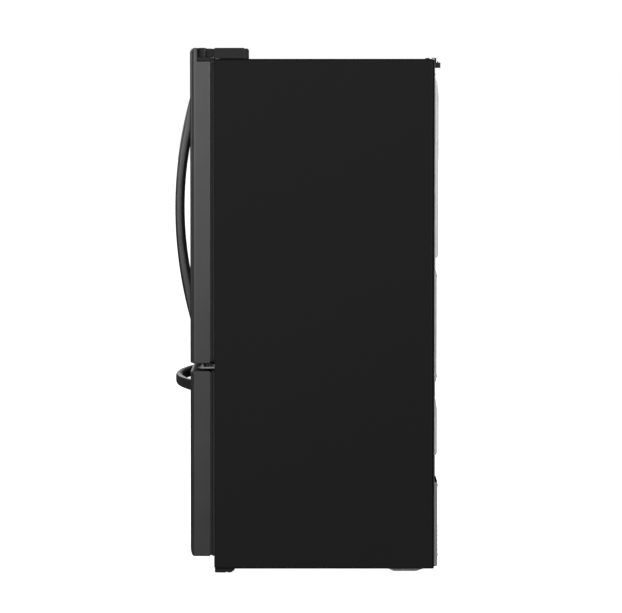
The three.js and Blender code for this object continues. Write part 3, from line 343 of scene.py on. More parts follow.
def within(span, near, far=None):
    """A span with its ends moved inwards, by the same amount if only one is given."""
    return span[0] + near, span[1] - (near if far is None else far)


def spans(node):
    """The spans of a node along x, y and z in millimetres."""
    low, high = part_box(node)
    return [(low[k] / MM, high[k] / MM) for k in range(3)]


slot_of = {}


def surface(name, slot, base, roughness, metallic=0.0, **constants):
    """A material with one Principled shader, and the slot it belongs to. What is the same all
    over is set on its own sockets. Returns the material, the shader and the coordinates."""
    made = bpy.data.materials.new(name)
    slot_of[made.name] = slot
    made.use_nodes = True
    shader = made.node_tree.nodes["Principled BSDF"]
    fixed = {"Base Color": base, "Roughness": roughness, "Metallic": metallic}
    for socket, value in {**fixed, **constants}.items():
        shader.inputs[socket.replace("_", " ")].default_value = value
    made.diffuse_color = base
    place = Shade(made.node_tree, None).node("TexCoord", None, None, "Object")
    return made, shader, place


def feed(shader, **links):
    """Links values to the shader's sockets."""
    for socket, value in links.items():
        value.tree.links.new(value.socket, shader.inputs[socket.replace("_", " ")])


def noise(place, scale, detail=3.0, stretch=(1.0, 1.0, 1.0), rough=0.5):
    """Noise with that many features to a metre, stretched along an axis by a scale under 1."""
    laid = place.node("Mapping", None, {"Vector": place, "Scale": stretch})
    inputs = {"Vector": laid, "Scale": scale, "Detail": detail, "Roughness": rough}
    return place.node("TexNoise", None, inputs)


def bumped(height, depth, strength=1.0):
    """A normal that follows a height map, with its full height in millimetres."""
    return height.node(
        "Bump", None, {"Height": height, "Distance": depth * MM, "Strength": strength}
    )


def dress(shader, mask, tones, rough, bump):
    """Feeds the shader a colour between two tones by a mask, a roughness, and the bump of a
    height map with its depth and strength. A tone is a colour or a level of grey."""
    first, second = (grey(tone) if np.isscalar(tone) else tone for tone in tones)
    feed(shader, Base_Color=blend(mask, first, second), Roughness=rough, Normal=bumped(*bump))


black_paint, shader, place = surface(
    "textured_black_paint", "black_paint", grey(0.012), 0.5, Specular_IOR_Level=0.36
)
pebble = noise(place, 900.0, 2.0)
cloud = noise(place, 1.6, 4.0)
case_x, case_y, case_z = spans("outer_wrapper")
HEM = 7.5
side, depth, height = (place.node("SeparateXYZ", None, {0: place}, k) for k in "XYZ")
# Painted shade: near-black bands along the rear hem and the top and bottom edges of each side.
outer = abs(side) > (case_x[1] - 1.0) * MM
seam_shade = (height > (case_z[1] - HEM * 0.7) * MM) + (height < (case_z[0] + HEM * 0.5) * MM)
hem_shade = place.math("ADD", depth > (case_y[1] - HEM) * MM, outer * seam_shade, clamp=True)
BLUE_BLACKS = (0.0068, 0.0068, 0.008, 1.0), (0.0106, 0.0106, 0.0124, 1.0)
coat = blend(pebble * 0.35 + cloud * 0.65, *BLUE_BLACKS)
dress(
    shader, hem_shade, (coat, 0.002), 0.44 + cloud * 0.12 + pebble * 0.06 + hem_shade * 0.36,
    (pebble, 0.12, 0.35),
)

FLANGE, REAR_FLANGE = 44.0, 12.0
WALL = 2.7
fold = [
    (FLANGE, case_y[0]), (0.0, case_y[0]), (0.0, case_y[1] - HEM - 1.4), (1.5, case_y[1] - HEM),
    (1.5, case_y[1]), (REAR_FLANGE, case_y[1]), (REAR_FLANGE, case_y[1] - SHEET),
    (WALL, case_y[1] - SHEET), (WALL, case_y[0] + SHEET), (FLANGE, case_y[0] + SHEET),
]
section = outline(fold, [0.3, 2.4, 0.4, 0.4, 1.2, 0.3, 0.3, 1.0, 1.0, 0.3])


def arch(inset):
    """The line of the shell at one depth under its surface: up one side, across the top and
    down the other, with the bend's radius drawn in by the same depth."""
    bend = outline(oblong(case_x, (case_z[0] - 99, case_z[1])), 3.0 * np.ones(4), inset)
    foot = [(case_x[1] - inset, case_z[0])], [(case_x[0] + inset, case_z[0])]
    return np.vstack([foot[0], bend[10:20], foot[1]])


shell = np.stack([standing(arch(inset), level, "y") for inset, level in section], 1)
RAIL_Z = (656.0, 738.0)
face_half = case_x[1] - FLANGE + SHEET
centre_rail = bar((-face_half, face_half), (case_y[0], case_y[0] + SHEET), RAIL_Z, 0.3)
piece("cabinet_shell", [skinned(shell), centre_rail], black_paint, "cabinet", ["outer_wrapper"])


# ---- Door and drawer fronts ----
# Each front is one sheet of black stainless steel, brushed along its height and rolled back at
# the edges over foam. The doors end in a tall lip that hides the hinge covers.
DOOR_BODY_TOP = 1728.0
LIP_DEPTH = 23.0
ROLL = 17.0
FOOT_ROLL = (12.0, 30.0)

black_steel, shader, place = surface("brushed_black_steel", "black_steel", grey(0.13), 0.36, 1.0)
grain = noise(place, 420.0, 4.0, (1.0, 1.0, 0.012), 0.65)
broad = noise(place, 2.2, 3.0)
smudge = noise(place, 9.0, 5.0)
dress(
    shader, grain * 0.5 + broad * 0.5, (0.128, 0.198), 0.27 + grain * 0.12 + smudge * 0.09,
    (grain, 0.03, 0.3),
)


def rolled(depth, reach, drop):
    """How far a rolled edge still lies in at a depth behind the face: a quarter ellipse,
    drop * (1 - sqrt(1 - (1 - depth / reach)^2))."""
    left = np.clip(1 - depth / reach, 0, 1)
    return drop * (1 - np.sqrt(1 - left**2))


def front_shell(x, z, inner, outer, foot, top, rear, corner):
    """A front as rings from its face backwards. Each edge is rolled by its own (reach, drop),
    and the rear rows give (depth, inset, top height) past the roll."""
    turn = np.linspace(0, np.pi / 2, 10)
    rows = [(ROLL * (1 - math.cos(t)), 0.0, z[1]) for t in turn] + rear
    rings = []
    for depth, inset, height in rows:
        low, high, bottom, lid = (rolled(depth, *edge) for edge in (inner, outer, foot, top))
        box = oblong(
            (x[0] + low + inset, x[1] - high - inset), (z[0] + bottom + inset, height - lid - inset)
        )
        rings.append(standing(outline(box, corner), door_y[0] + depth, "y"))
    return skinned(np.array(rings))


door_x, door_y, door_z = spans("right_door_skin")
deep = door_y[1] - door_y[0]


def folded_in(top):
    """The last rows of a front: its sheet is folded in at the rear, over the foam."""
    return [(deep - 0.8, 0.0, top), (deep, 0.6, top), (deep, SHEET, top), (deep - 6, SHEET, top)]


lip = [(LIP_DEPTH - 2.4, 0.0, door_z[1]), (LIP_DEPTH - 0.8, 0.0, door_z[1] - 0.7)]
lip += [(LIP_DEPTH, 0.0, door_z[1] - 2.4), (LIP_DEPTH, 0.0, DOOR_BODY_TOP)]
lip += folded_in(DOOR_BODY_TOP)
ROUND = (ROLL, ROLL)
door_shell = front_shell(
    door_x, door_z, (6.0, 6.0), ROUND, (6.0, 6.0), ROUND, lip, [1.5, 2.0, 6.0, 2.0]
)
both_sides("SIDE_door_shell", door_shell, black_steel, "SIDE_door", ["SIDE_door_skin"])

drawer_x, drawer_y, drawer_z = spans("drawer_skin")
back = folded_in(drawer_z[1])
drawer_shell = front_shell(
    drawer_x, drawer_z, ROUND, ROUND, FOOT_ROLL, (4.0, 4.0), back, [3.0, 3.0, 2.0, 2.0]
)
piece("drawer_shell", drawer_shell, black_steel, "freezer_drawer", ["drawer_skin"])

# Moulded end caps close the top and bottom of each door and the drawer front, pressed in over
# the steel and held by screws.
dark_plastic, shader, place = surface("dark_moulded_plastic", "dark_plastic", grey(0.035), 0.45)
fine = noise(place, 1500.0, 2.0)
flow = noise(place, 14.0, 3.0)
dress(
    shader, flow * 0.7 + fine * 0.3, (0.017, 0.03), 0.38 + flow * 0.12 + fine * 0.08,
    (fine, 0.05, 0.3),
)
CAP_TOP = DOOR_BODY_TOP + 11.5
top_cap = bar(
    within(door_x, 0.3), (door_y[0] + LIP_DEPTH + 0.3, door_y[1]), (DOOR_BODY_TOP + 0.3, CAP_TOP),
    1.6, 3.0, "z",
)
cap_foot = bar(
    within(door_x, 2), (door_y[0] + LIP_DEPTH + 1, door_y[1] - 1.5),
    (DOOR_BODY_TOP - 4, DOOR_BODY_TOP + 1), 0.4,
)
foot_cap = bar(
    within(door_x, 3), within(door_y, 9, 2), (door_z[0] - 1.0, door_z[0] + 4), 1.0, 2.0, "z"
)
both_sides("SIDE_door_end_caps", [top_cap, cap_foot, foot_cap], dark_plastic, "SIDE_door")
lid_strip = bar(
    within(drawer_x, 5), within(drawer_y, 7, 5), (drawer_z[1] - 3, drawer_z[1] + 1.5), 1.0, 2.0, "z"
)
piece("drawer_top_cap", lid_strip, dark_plastic, "freezer_drawer")

# ---- Handles ----
# Cast bows in the same dark steel, brushed along their length. Each thins towards its ends,
# where it runs flat onto the front over a hidden stud.
handle_steel, shader, place = surface("brushed_handle_steel", "handle_steel", grey(0.18), 0.3, 1.0)
streak = noise(place, 500.0, 3.0, (1.0, 1.0, 0.02))
cross = noise(place, 500.0, 3.0, (0.02, 1.0, 1.0))
haze = noise(place, 12.0, 3.0)
dress(
    shader, streak * 0.4 + haze * 0.6, (0.125, 0.2), 0.24 + cross * 0.06 + haze * 0.12,
    (streak * 0.5 + cross * 0.5, 0.02, 0.25),
)


def arc_height(along, half, rise):
    """Height of a circular arc over its chord: sqrt(R^2 - along^2) - (R - rise), where
    R = (half^2 + rise^2) / (2 rise), and nothing past the chord's ends."""
    radius = (half**2 + rise**2) / (2 * rise)
    inside = np.maximum(radius**2 - along**2, 0)
    return np.where(np.abs(along) < half, np.sqrt(inside) - (radius - rise), 0)


def bow(middle, half, width, rise, pad, thickness, square=3.4):
    """A bow along an axis, thickness deep at its middle and solid for a pad's length at each
    end. At each station the section is a superellipse between an outer and an inner arc:
    (cos t, sin t), each raised to the power 2 / square. Returns the stations, the widths and
    the heights over the front as three grids."""
    share = np.linspace(-1, 1, 97)
    along = (half - 1.2) * np.sin(share * np.pi / 2)
    outer = arc_height(along, half, rise)
    inner = arc_height(along, half - pad, rise - thickness)
    thick = np.maximum(outer - inner, 1.2)
    turn = np.linspace(0, 2 * np.pi, 32, endpoint=False)
    bend = 2 / square
    wide = np.sign(np.cos(turn)) * np.abs(np.cos(turn)) ** bend
    high = np.sign(np.sin(turn)) * np.abs(np.sin(turn)) ** bend
    taper = np.clip((half - np.abs(along)) / 26.0, 0, 1)
    girth = width / 2 * (0.72 + 0.28 * np.sqrt(1 - (1 - taper) ** 2))
    rise_grid = (inner + thick / 2)[:, None] + (thick / 2)[:, None] * high
    return middle + along[:, None] + 0 * rise_grid, girth[:, None] * wide, rise_grid


grip_x, grip_y, grip_z = spans("right_door_handle")
root = grip_y[1]
reach = root - grip_y[0]
level, wide, high = bow(
    sum(grip_z) / 2, (grip_z[1] - grip_z[0]) / 2, grip_x[1] - grip_x[0], reach, 138.0, 29.0
)
upright = np.stack([sum(grip_x) / 2 + wide, root - high, level], -1)
both_sides("SIDE_door_bow", skinned(upright), handle_steel, "SIDE_door", ["SIDE_door_handle"])
pull_x, pull_y, pull_z = spans("freezer_handle")
level, wide, high = bow(0.0, pull_x[1], pull_z[1] - pull_z[0], pull_y[1] - pull_y[0], 40.0, 25.0)
across = np.stack([level, pull_y[1] - high, sum(pull_z) / 2 + wide], -1)
piece("freezer_bow", skinned(across), handle_steel, "freezer_drawer", ["freezer_handle"])

# ---- Door seals ----
# Magnetic gaskets: a soft extruded strip with two bellows folds and a flat magnet pocket,
# welded at the corners and pushed into a slot in the liner.
gasket_rubber, shader, place = surface("gasket_rubber", "gasket_rubber", grey(0.03), 0.62)
dust = noise(place, 40.0, 4.0)
dress(shader, dust, (0.105, 0.145), 0.55 + dust * 0.2, (noise(place, 700.0, 2.0), 0.05, 0.3))


def lifted(profile, level):
    """A profile whose levels are measured from one level."""
    return [(inset, rise + level) for inset, rise in profile]


def gasket(name, node, body):
    """The bellows section carried round the opening."""
    x, (near, far), z = spans(node)
    folds = [
        (-6.0, 4.6), (-10.5, 7), (-10.9, 14.2), (-10.2, 15), (-9.6, 14.2), (-9.4, 8), (-6.0, 5.6),
        (2.5, 1), (0.9, 3.6), (2.4, 5.6), (0.2, 8.2), (0.0, 13), (1.2, far - near),
        (18.8, far - near), (20.0, 13), (19.8, 8.2), (17.6, 5.2), (19.4, 2.6), (17.5, 0),
        (13, 1.6), (7, 1.6),
    ]
    strip = stacked(oblong(x, z), 10.0, lifted(folds, near), "y", hoop=True)
    piece(name, strip, gasket_rubber, body, [node], 50.0)


for side in ("right_door", "left_door", "freezer_drawer"):
    part = side.replace("freezer_", "")
    gasket(f"{part}_seal", f"{part}_gasket", side)

# ---- Hinges ----
# Dark steel hinge arms are screwed to the cabinet top, each ending in a turned boss with the
# pin that drops into the door, and a moulded cover clips over each plate. The hinges between
# doors and drawer are bare plated steel.
zinc_steel, shader, place = surface("plated_steel", "zinc_steel", grey(0.42), 0.38, 0.9)
cast = noise(place, 60.0, 4.0)
speck = noise(place, 900.0, 2.0)
dress(shader, cast * 0.7 + speck * 0.3, (0.42, 0.58), 0.32 + cast * 0.2, (speck, 0.03, 0.3))
PIN_X, PIN_Y, PIN_RADIUS, BOSS_RADIUS = 432.0, door_y[0] + 41.0, 6.0, 15.0


def turned(profile, centre, axis="z", around=36, hoop=False):
    """A solid of revolution: each (radius, level) of the profile becomes a circle about the
    axis through the centre. A hoop's profile is closed, and its middle is open."""
    radius, level = np.array(profile, float).T
    angle = np.linspace(0, 2 * np.pi, around, endpoint=False)
    a = centre[0] + radius[:, None] * np.cos(angle)
    b = centre[1] + radius[:, None] * np.sin(angle)
    grid = np.stack([a, b, level[:, None] + 0 * a], -1)
    return skinned(grid[..., ORDER[axis]], hoop)


def screw(centre, seat, out, axis, radius=4.0):
    """A pan-head screw with a six-sided socket, standing out of its seat along an axis."""
    reach = [0.0, 0.0, 0.55, 0.9, 1.0, 1.0, 0.45]
    rim = [0.05, 1.0, 1.0, 0.86, 0.6, 0.5, 0.48]
    head = [(radius * r, seat + out * radius * 0.55 * h) for r, h in zip(rim, reach)]
    return turned(head, centre, axis, 24)


arm_x, arm_bottom = (PIN_X - 16.0, PIN_X + 2.0), CAP_TOP + 0.4
hinge_x, hinge_y, hinge_z = spans("right_top_hinge")
boss = [(0.3, arm_bottom), (BOSS_RADIUS - 1, arm_bottom), (BOSS_RADIUS, arm_bottom + 1)]
crest = [(BOSS_RADIUS, -4), (BOSS_RADIUS - 0.8, -2.2), (BOSS_RADIUS - 3, -0.4)]
crest += [(BOSS_RADIUS - 4, 0), (5.6, 0), (5.2, -0.5), (5.0, -4), (0.3, -4)]
boss += lifted(crest, hinge_z[1])
pin = [(0.3, hinge_z[0]), (PIN_RADIUS - 1.4, hinge_z[0]), (PIN_RADIUS, hinge_z[0] + 2)]
pin += [(PIN_RADIUS, arm_bottom + 2), (0.3, arm_bottom + 2)]
top_hinge = [
    turned(boss, (PIN_X, PIN_Y)), turned(pin, (PIN_X, PIN_Y), around=24),
    bar(arm_x, (PIN_Y, case_y[0] + 12), (arm_bottom, hinge_z[1] - 3), 2.2, 2.2, "y"),
    bar(arm_x, (case_y[0] + 5, case_y[0] + 12), (case_z[1] + 0.3, hinge_z[1] - 4), 1.0),
    bar(
        (hinge_x[0], hinge_x[1] - 1), (case_y[0] + 6, hinge_y[1]),
        (case_z[1] + 0.3, case_z[1] + 4.3), 0.8,
    ),
]
both_sides(
    "SIDE_hinge_arm", top_hinge, dark_plastic, "cabinet", ["SIDE_top_hinge"], slot="zinc_steel"
)

cover_x, cover_y, cover_z = spans("right_hinge_cover")
hood = [
    (cover_y[0], cover_z[0]), (cover_y[1], cover_z[0]), (cover_y[1], cover_z[1] - 6),
    (cover_y[1] - 5, cover_z[1]), (cover_y[0] + 5, cover_z[1]), (cover_y[0], cover_z[1] - 3),
]
hinge_cover = [
    stacked(hood, [0.5, 0.5, 3.0, 3.0, 2.5, 2.0], eased(*cover_x, 2.6), "x"),
    bar(
        within(cover_x, 12), within(cover_y, 44, 12),
        (cover_z[1] - 1.5, cover_z[1] - 0.1), 0.1, 6.0, "z",
    ),
]
both_sides("SIDE_hinge_hood", hinge_cover, dark_plastic, "cabinet", ["SIDE_hinge_cover"])

mid_x, mid_y, mid_z = spans("right_mid_hinge")
plate_z = (door_z[0] - 19.0, door_z[0] - 13.0)
MID_SCREW_Z = 702.0
tongue = [
    (PIN_X - 20, mid_y[1]), (PIN_X - BOSS_RADIUS, PIN_Y - BOSS_RADIUS),
    (PIN_X + BOSS_RADIUS, PIN_Y - BOSS_RADIUS), (PIN_X + BOSS_RADIUS, mid_y[1]),
]
collar = [(0.3, plate_z[0] - 2), (8, plate_z[0] - 2), (9, plate_z[0] - 1), (9, door_z[0] - 9)]
collar += [(8, door_z[0] - 8), (PIN_RADIUS, door_z[0] - 1), (PIN_RADIUS, mid_z[1] - 2)]
collar += [(PIN_RADIUS - 2, mid_z[1]), (0.3, mid_z[1])]
mid_hinge = [
    stacked(tongue, [0.5, 13.0, 13.0, 0.5], eased(*plate_z, 0.9), "z", steps=8),
    bar(mid_x, (mid_y[1] - 3, mid_y[1]), (plate_z[0], door_z[0] - 4), 0.8, 2.0, "y"),
    turned(collar, (PIN_X, PIN_Y), around=28),
]
mid_hinge += [screw((x, MID_SCREW_Z), mid_y[1] - 3, -1.0, "y", 3.2) for x in (421.0, 442.0)]
stop = bar(
    (PIN_X - 16, PIN_X + 13), (PIN_Y + 9.5, mid_y[1] - 4.5), (plate_z[1] + 0.2, door_z[0] - 1.6),
    1.2, 3, "z",
)
both_sides("SIDE_door_stop", stop, dark_plastic, "cabinet")
both_sides("SIDE_centre_hinge", mid_hinge, zinc_steel, "cabinet", ["SIDE_mid_hinge"])


# ---- Rear panel ----
# One pressed sheet of galvanised steel closes the foam at the back. Shallow plateaus stiffen
# it, and a row of screws holds its edge to the flanges of the shell.
galvanised, shader, place = surface("galvanised_sheet", "galvanised_sheet", grey(0.66), 0.5, 0.55)
spangle = place.node("TexVoronoi", None, {"Vector": place, "Scale": 140.0}, "Color")
crystal = spangle.node("SeparateXYZ", None, {0: spangle}, "X")
stain = noise(place, 5.0, 4.0)
dress(
    shader, crystal * 0.55 + stain * 0.45, (0.56, 0.78), 0.46 + crystal * 0.14 + stain * 0.08,
    (crystal, 0.04, 0.4),
)
panel_x, _, panel_z = spans("rear_panel")
PANEL_FLAT = case_y[1] + 0.3 + SHEET
SHOULDER = 0.34
EDGE_SCREW_X = 433.0
# Half width, span along z and height of each.
PLATEAUS = [
    (420.0, (321.0, 1676.0), 4.0), (344.0, (1051.0, 1690.0), 15.0), (344.0, (381.0, 616.0), 12.0),
    (284.0, (322.0, 411.0), 8.0),
]


def smooth(share):
    """3 s^2 - 2 s^3 between 0 and 1."""
    share = np.clip(share, 0, 1)
    return share * share * (3 - 2 * share)


def plate(grid, offset):
    """A sheet from a grid of points and its copy moved by an offset, with a rim between."""
    rows, count = grid.shape[:2]
    index = np.arange(rows * count).reshape(rows, count)
    top = np.stack([index[:-1, :-1], index[1:, :-1], index[1:, 1:], index[:-1, 1:]], -1)
    top = top.reshape(-1, 4)
    ring = np.concatenate([index[0, :-1], index[:-1, -1], index[-1, :0:-1], index[:0:-1, 0]])
    after = np.roll(ring, -1)
    under = rows * count
    rim = np.stack([ring, after, after + under, ring + under], -1)
    points = np.concatenate([grid.reshape(-1, 3), grid.reshape(-1, 3) + offset])
    return points, np.concatenate([top, top[:, ::-1] + under, rim]), []


def ruled(span, edges, step, slope):
    """Grid lines over a span: even ones, and close ones beside each edge."""
    close = np.add.outer(np.asarray(edges), np.linspace(-slope, slope, 13)).ravel()
    lines = np.concatenate([np.linspace(*span, int((span[1] - span[0]) / step) + 2), close])
    lines = np.unique(np.round(lines[(lines >= span[0]) & (lines <= span[1])], 2))
    return lines[np.concatenate([[True], np.diff(lines) > 0.4])]


across = ruled(panel_x, [s * (half - 8) for half, _, _ in PLATEAUS for s in (-1, 1)], 60.0, 9.0)
upward = ruled(panel_z, [z for _, z, _ in PLATEAUS for z in within(z, 9)], 60.0, 11.0)
wide, tall = np.meshgrid(across, upward, indexing="ij")
relief = 0 * wide
for half, (low, high), height in PLATEAUS:
    inside = np.minimum.reduce([half - np.abs(wide), tall - low, (high - tall) * SHOULDER])
    relief = np.maximum(relief, height * smooth(inside / (5 + height * 0.9)))
pressed = np.stack([wide, PANEL_FLAT + relief, tall], -1)
screw_z = np.linspace(panel_z[0] + 60, panel_z[1] - 40, 7)
rear_panel = [plate(pressed, np.array([0, -SHEET, 0]))]
rear_panel += [
    screw((x, z), PANEL_FLAT, 1.0, "y") for z in screw_z for x in (-EDGE_SCREW_X, EDGE_SCREW_X)
]
rear_panel += [screw((x, panel_z[1] - 10), PANEL_FLAT, 1.0, "y") for x in (-300, -100, 100, 300)]
piece("pressed_rear_panel", rear_panel, galvanised, "cabinet", ["rear_panel"])

# A bright steel cover stands over the refrigerant lines in the middle of the back.
duct_x, duct_y, duct_z = spans("rear_duct_cover")
crown = [
    (0, -7), (0.8, -5.4), (3, -4), (10, -1.6), (17, -0.3), (21, 0), (30, 0), (31, -0.8),
    (33, -1.4), (35, -0.8), (36, 0),
]
crown = [(0, duct_y[0])] + lifted(crown, duct_y[1])
duct_cover = [stacked(oblong(duct_x, duct_z), 9.0, crown, "y")]
duct_cover += [
    bar((x - 4, x + 4), (duct_y[1] - 1, duct_y[1] + 1.2), within(duct_z, 70), 1.1, 3.9, "y")
    for x in (-90, -45, 0, 45, 90)
]
duct_cover += [
    screw((x, z), duct_y[1] - 0.2, 1.0, "y") for x in (-150, 150) for z in within(duct_z, 24)
]
piece("line_cover", duct_cover, galvanised, "cabinet", ["rear_duct_cover"])

# ---- Machine space cover ----
# A thin steel cover, punched with rows of louvres for the air of the condenser fan, screwed
# over the machine space. A plastic gland stands where the supply lead goes in.
cover_steel, shader, place = surface("dull_cover_steel", "galvanised_sheet", grey(0.58), 0.5, 0.8)
stain = noise(place, 8.0, 4.0)
fleck = noise(place, 300.0, 2.0)
dress(shader, stain * 0.7 + fleck * 0.3, (0.5, 0.68), 0.44 + stain * 0.16, (fleck, 0.04, 0.3))
cover_x, cover_y, cover_z = spans("machine_cover")
COVER_BACK = case_y[1] + 12.0
COVER_ROLL = 10.0
bend = np.linspace(-np.pi / 2, 0, 7)
section_y = [cover_y[0]] + list(COVER_BACK - COVER_ROLL + COVER_ROLL * np.cos(bend))
section_z = [cover_z[0]] + list(cover_z[0] + COVER_ROLL + COVER_ROLL * np.sin(bend))
LOUVRE_Z = (70.0, 170.0)
LOUVRE_PITCH = (78.0, 16.0)
flat_z = np.unique(np.concatenate([
    np.linspace(cover_z[0] + COVER_ROLL + 4, LOUVRE_Z[0], 4),
    np.arange(LOUVRE_Z[0], LOUVRE_Z[1], 2.0),
    np.linspace(LOUVRE_Z[1], cover_z[1], 8),
]))
section_y = np.array(section_y + [COVER_BACK] * len(flat_z) + [cover_y[0]])
section_z = np.array(section_z + list(flat_z) + [cover_z[1]])
across = np.linspace(*cover_x, 353)
wide, run = np.meshgrid(across, np.arange(len(section_y)), indexing="ij")
tall, back = section_z[run], section_y[run]
column = np.abs((wide + 39) % LOUVRE_PITCH[0] - LOUVRE_PITCH[0] / 2)
row = ((tall - LOUVRE_Z[0]) % LOUVRE_PITCH[1]) / LOUVRE_PITCH[1]
hooded = (tall > LOUVRE_Z[0] + 1) & (tall < LOUVRE_Z[1] - 4) & (np.abs(wide) < 395)
hooded &= (np.abs(wide + 272) > 60) | (tall < 165)
hood_rise = smooth((30 - column) / 5) * np.clip(1 - row / 0.62, 0, 1) * smooth(row / 0.1)
louvred = np.stack([wide, back + np.where(hooded, 4.0 * hood_rise, 0), tall], -1)
machine_cover = [plate(louvred, np.array([0, -SHEET * 0.8, 0]))]
machine_cover += [
    screw((x, cover_z[1] - 12), COVER_BACK, 1.0, "y") for x in (-425, -280, -140, 0, 140, 280, 425)
]
machine_cover += [screw((x, 60.0), COVER_BACK, 1.0, "y") for x in (-425, 425)]
machine_cover += [
    bar(end, (cover_y[0], COVER_BACK - 1), (cover_z[0] + 1, cover_z[1]), 0.4)
    for end in ((cover_x[0], cover_x[0] + SHEET), (cover_x[1] - SHEET, cover_x[1]))
]
piece("louvred_cover", machine_cover, cover_steel, "cabinet", ["machine_cover"])
GLAND = (-272.4, 200.0)
bead = [(4.9, -4), (15.5, -4), (16, -3), (16, 3), (15, 4), (11, 4.6), (8.5, 5.6), (6.0, 6)]
gland = turned(lifted(bead + [(4.9, 5)], COVER_BACK), GLAND, "y", 32, hoop=True)
piece("lead_gland", gland, dark_plastic, "cabinet")

# ---- Rear spacers ----
# Hooks of dark moulded plastic clip over the top corners and keep the back of the cabinet off
# the wall.
hook_x, hook_y, hook_z = spans("right_rear_spacer")
hook_top = case_z[1] + 3.4
spacer = [
    bar(hook_x, (case_y[1] - 8, case_y[1] + 6), (case_z[1] + 0.2, hook_top), 0.4),
    bar(hook_x, (case_y[1] + 1.6, case_y[1] + 6), (hook_z[0], hook_top), 0.4),
    bar(within(hook_x, 2), (case_y[1] + 5, hook_y[1]), (hook_z[0], hook_z[1] - 17), 1.5),
    bar(within(hook_x, 5), (case_y[1] + 9, case_y[1] + 13), (hook_z[1] - 22, hook_z[1] - 13), 1.2),
]
both_sides("SIDE_wall_hook", spacer, dark_plastic, "cabinet", ["SIDE_rear_spacer"])

# ---- Kick plate, feet and rollers ----
# A slotted plastic plate clips under the drawer. Behind it two screw feet level the cabinet,
# and it rolls on nylon wheels, two at the front and two in the pressed base at the rear.
kick_x, kick_y, kick_z = spans("kick_plate")
kick = [bar(kick_x, (kick_y[0] + 0.8, kick_y[1]), kick_z, 0.8, 3.0, "y")]
kick += [
    bar(within(kick_x, 24), (kick_y[0], kick_y[0] + 2), (z, z + 3.4), 0.7, 1.4, "y")
    for z in np.arange(kick_z[0] + 4, kick_z[1] - 6, 6.4)
]
piece("slotted_kick_plate", kick, dark_plastic, "cabinet", ["kick_plate"])

nylon, shader, place = surface("roller_nylon", "roller_nylon", grey(0.018), 0.42)
scuff = noise(place, 90.0, 4.0)
dress(shader, scuff, (0.012, 0.03), 0.34 + scuff * 0.3, (scuff, 0.05, 0.4))


def wheel(node):
    """A roller: a crowned tread with two grooves, a web and a bored hub."""
    x, y, z = spans(node)
    rim = (z[1] - z[0]) / 2
    across = x[1] - x[0]
    tread = [
        (4.2, 0), (7.5, 0), (8.0, 0.6), (8.2, 2.4), (rim - 4.5, 3.0), (rim - 4.2, 0.5),
        (rim - 3.6, 0), (rim - 1, 0), (rim - 0.2, 0.8), (rim, 2), (rim, 6), (rim - 0.8, 6.6),
        (rim - 0.8, 7.4), (rim, 8), (rim, across / 2),
    ]
    whole = tread + [(r, across - step) for r, step in tread[::-1][1:]]
    return turned(lifted(whole, x[0]), (sum(y) / 2, sum(z) / 2), "x", 40, hoop=True)


for corner in ("right_front", "left_front", "right_rear", "left_rear"):
    node = f"{corner}_roller"
    piece(f"{corner}_wheel", wheel(node), nylon, node, [node], 40.0)

foot_x, foot_y, foot_z = spans("right_leveling_leg")
foot_at = (sum(foot_x) / 2, sum(foot_y) / 2)
pad_radius = (foot_x[1] - foot_x[0]) / 2
pad = [(0.3, 0), (pad_radius - 2, 0), (pad_radius - 0.4, 0.8), (pad_radius, 2.4), (pad_radius, 6)]
pad += [(pad_radius - 1, 7.6), (pad_radius - 4, 8.6), (10, 9), (0.3, 9)]
thread = np.linspace(13, foot_z[1] - 1, 61)
ridge = 4.6 + 0.4 * np.cos(2 * np.pi * np.arange(61) / 4)
stem = [(0.3, 13)] + list(zip(ridge, thread)) + [(4.0, foot_z[1]), (0.3, foot_z[1])]
six = np.arange(6) * np.pi / 3
nut = stacked(10 * np.stack([np.cos(six), np.sin(six)], -1) + foot_at, 0.8, eased(8, 14, 0.8), "z")
both_sides(
    "SIDE_screw_foot", [turned(pad, foot_at), turned(stem, foot_at, around=20), nut], nylon,
    "SIDE_leveling_leg", ["SIDE_leveling_leg"],
)

# A dark skirt outside each front foot and wheel hangs from the base rail.
skirt_line = [
    (-0.2, 40.0), (-0.2, 3.0), (3, 0.8), (36, 0.8), (39, 3.6), (42, 1.2), (56, 1.2), (66, 15.0),
    (66, 40.0),
]
skirt_line = [(case_y[0] + back, up) for back, up in skirt_line]
skirt = stacked(
    skirt_line, [1, 1.5, 1.0, 1.5, 1.0, 3.0, 4.0, 1.0, 1.0], eased(441.0, 447.5, 1.0), "x"
)
both_sides("SIDE_foot_skirt", skirt, dark_plastic, "cabinet")

# The folded rail, the deck and the pressed base keep their plain sheet forms.
def finished(finish, *nodes):
    """Gives nodes that keep their own shape their finish."""
    for node in nodes:
        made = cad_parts[node]
        made.data.materials.clear()
        made.data.materials.append(finish)


finished(galvanised, "bottom_deck", "compressor_base", "condenser_fan_bracket")
finished(zinc_steel, "front_base_rail")


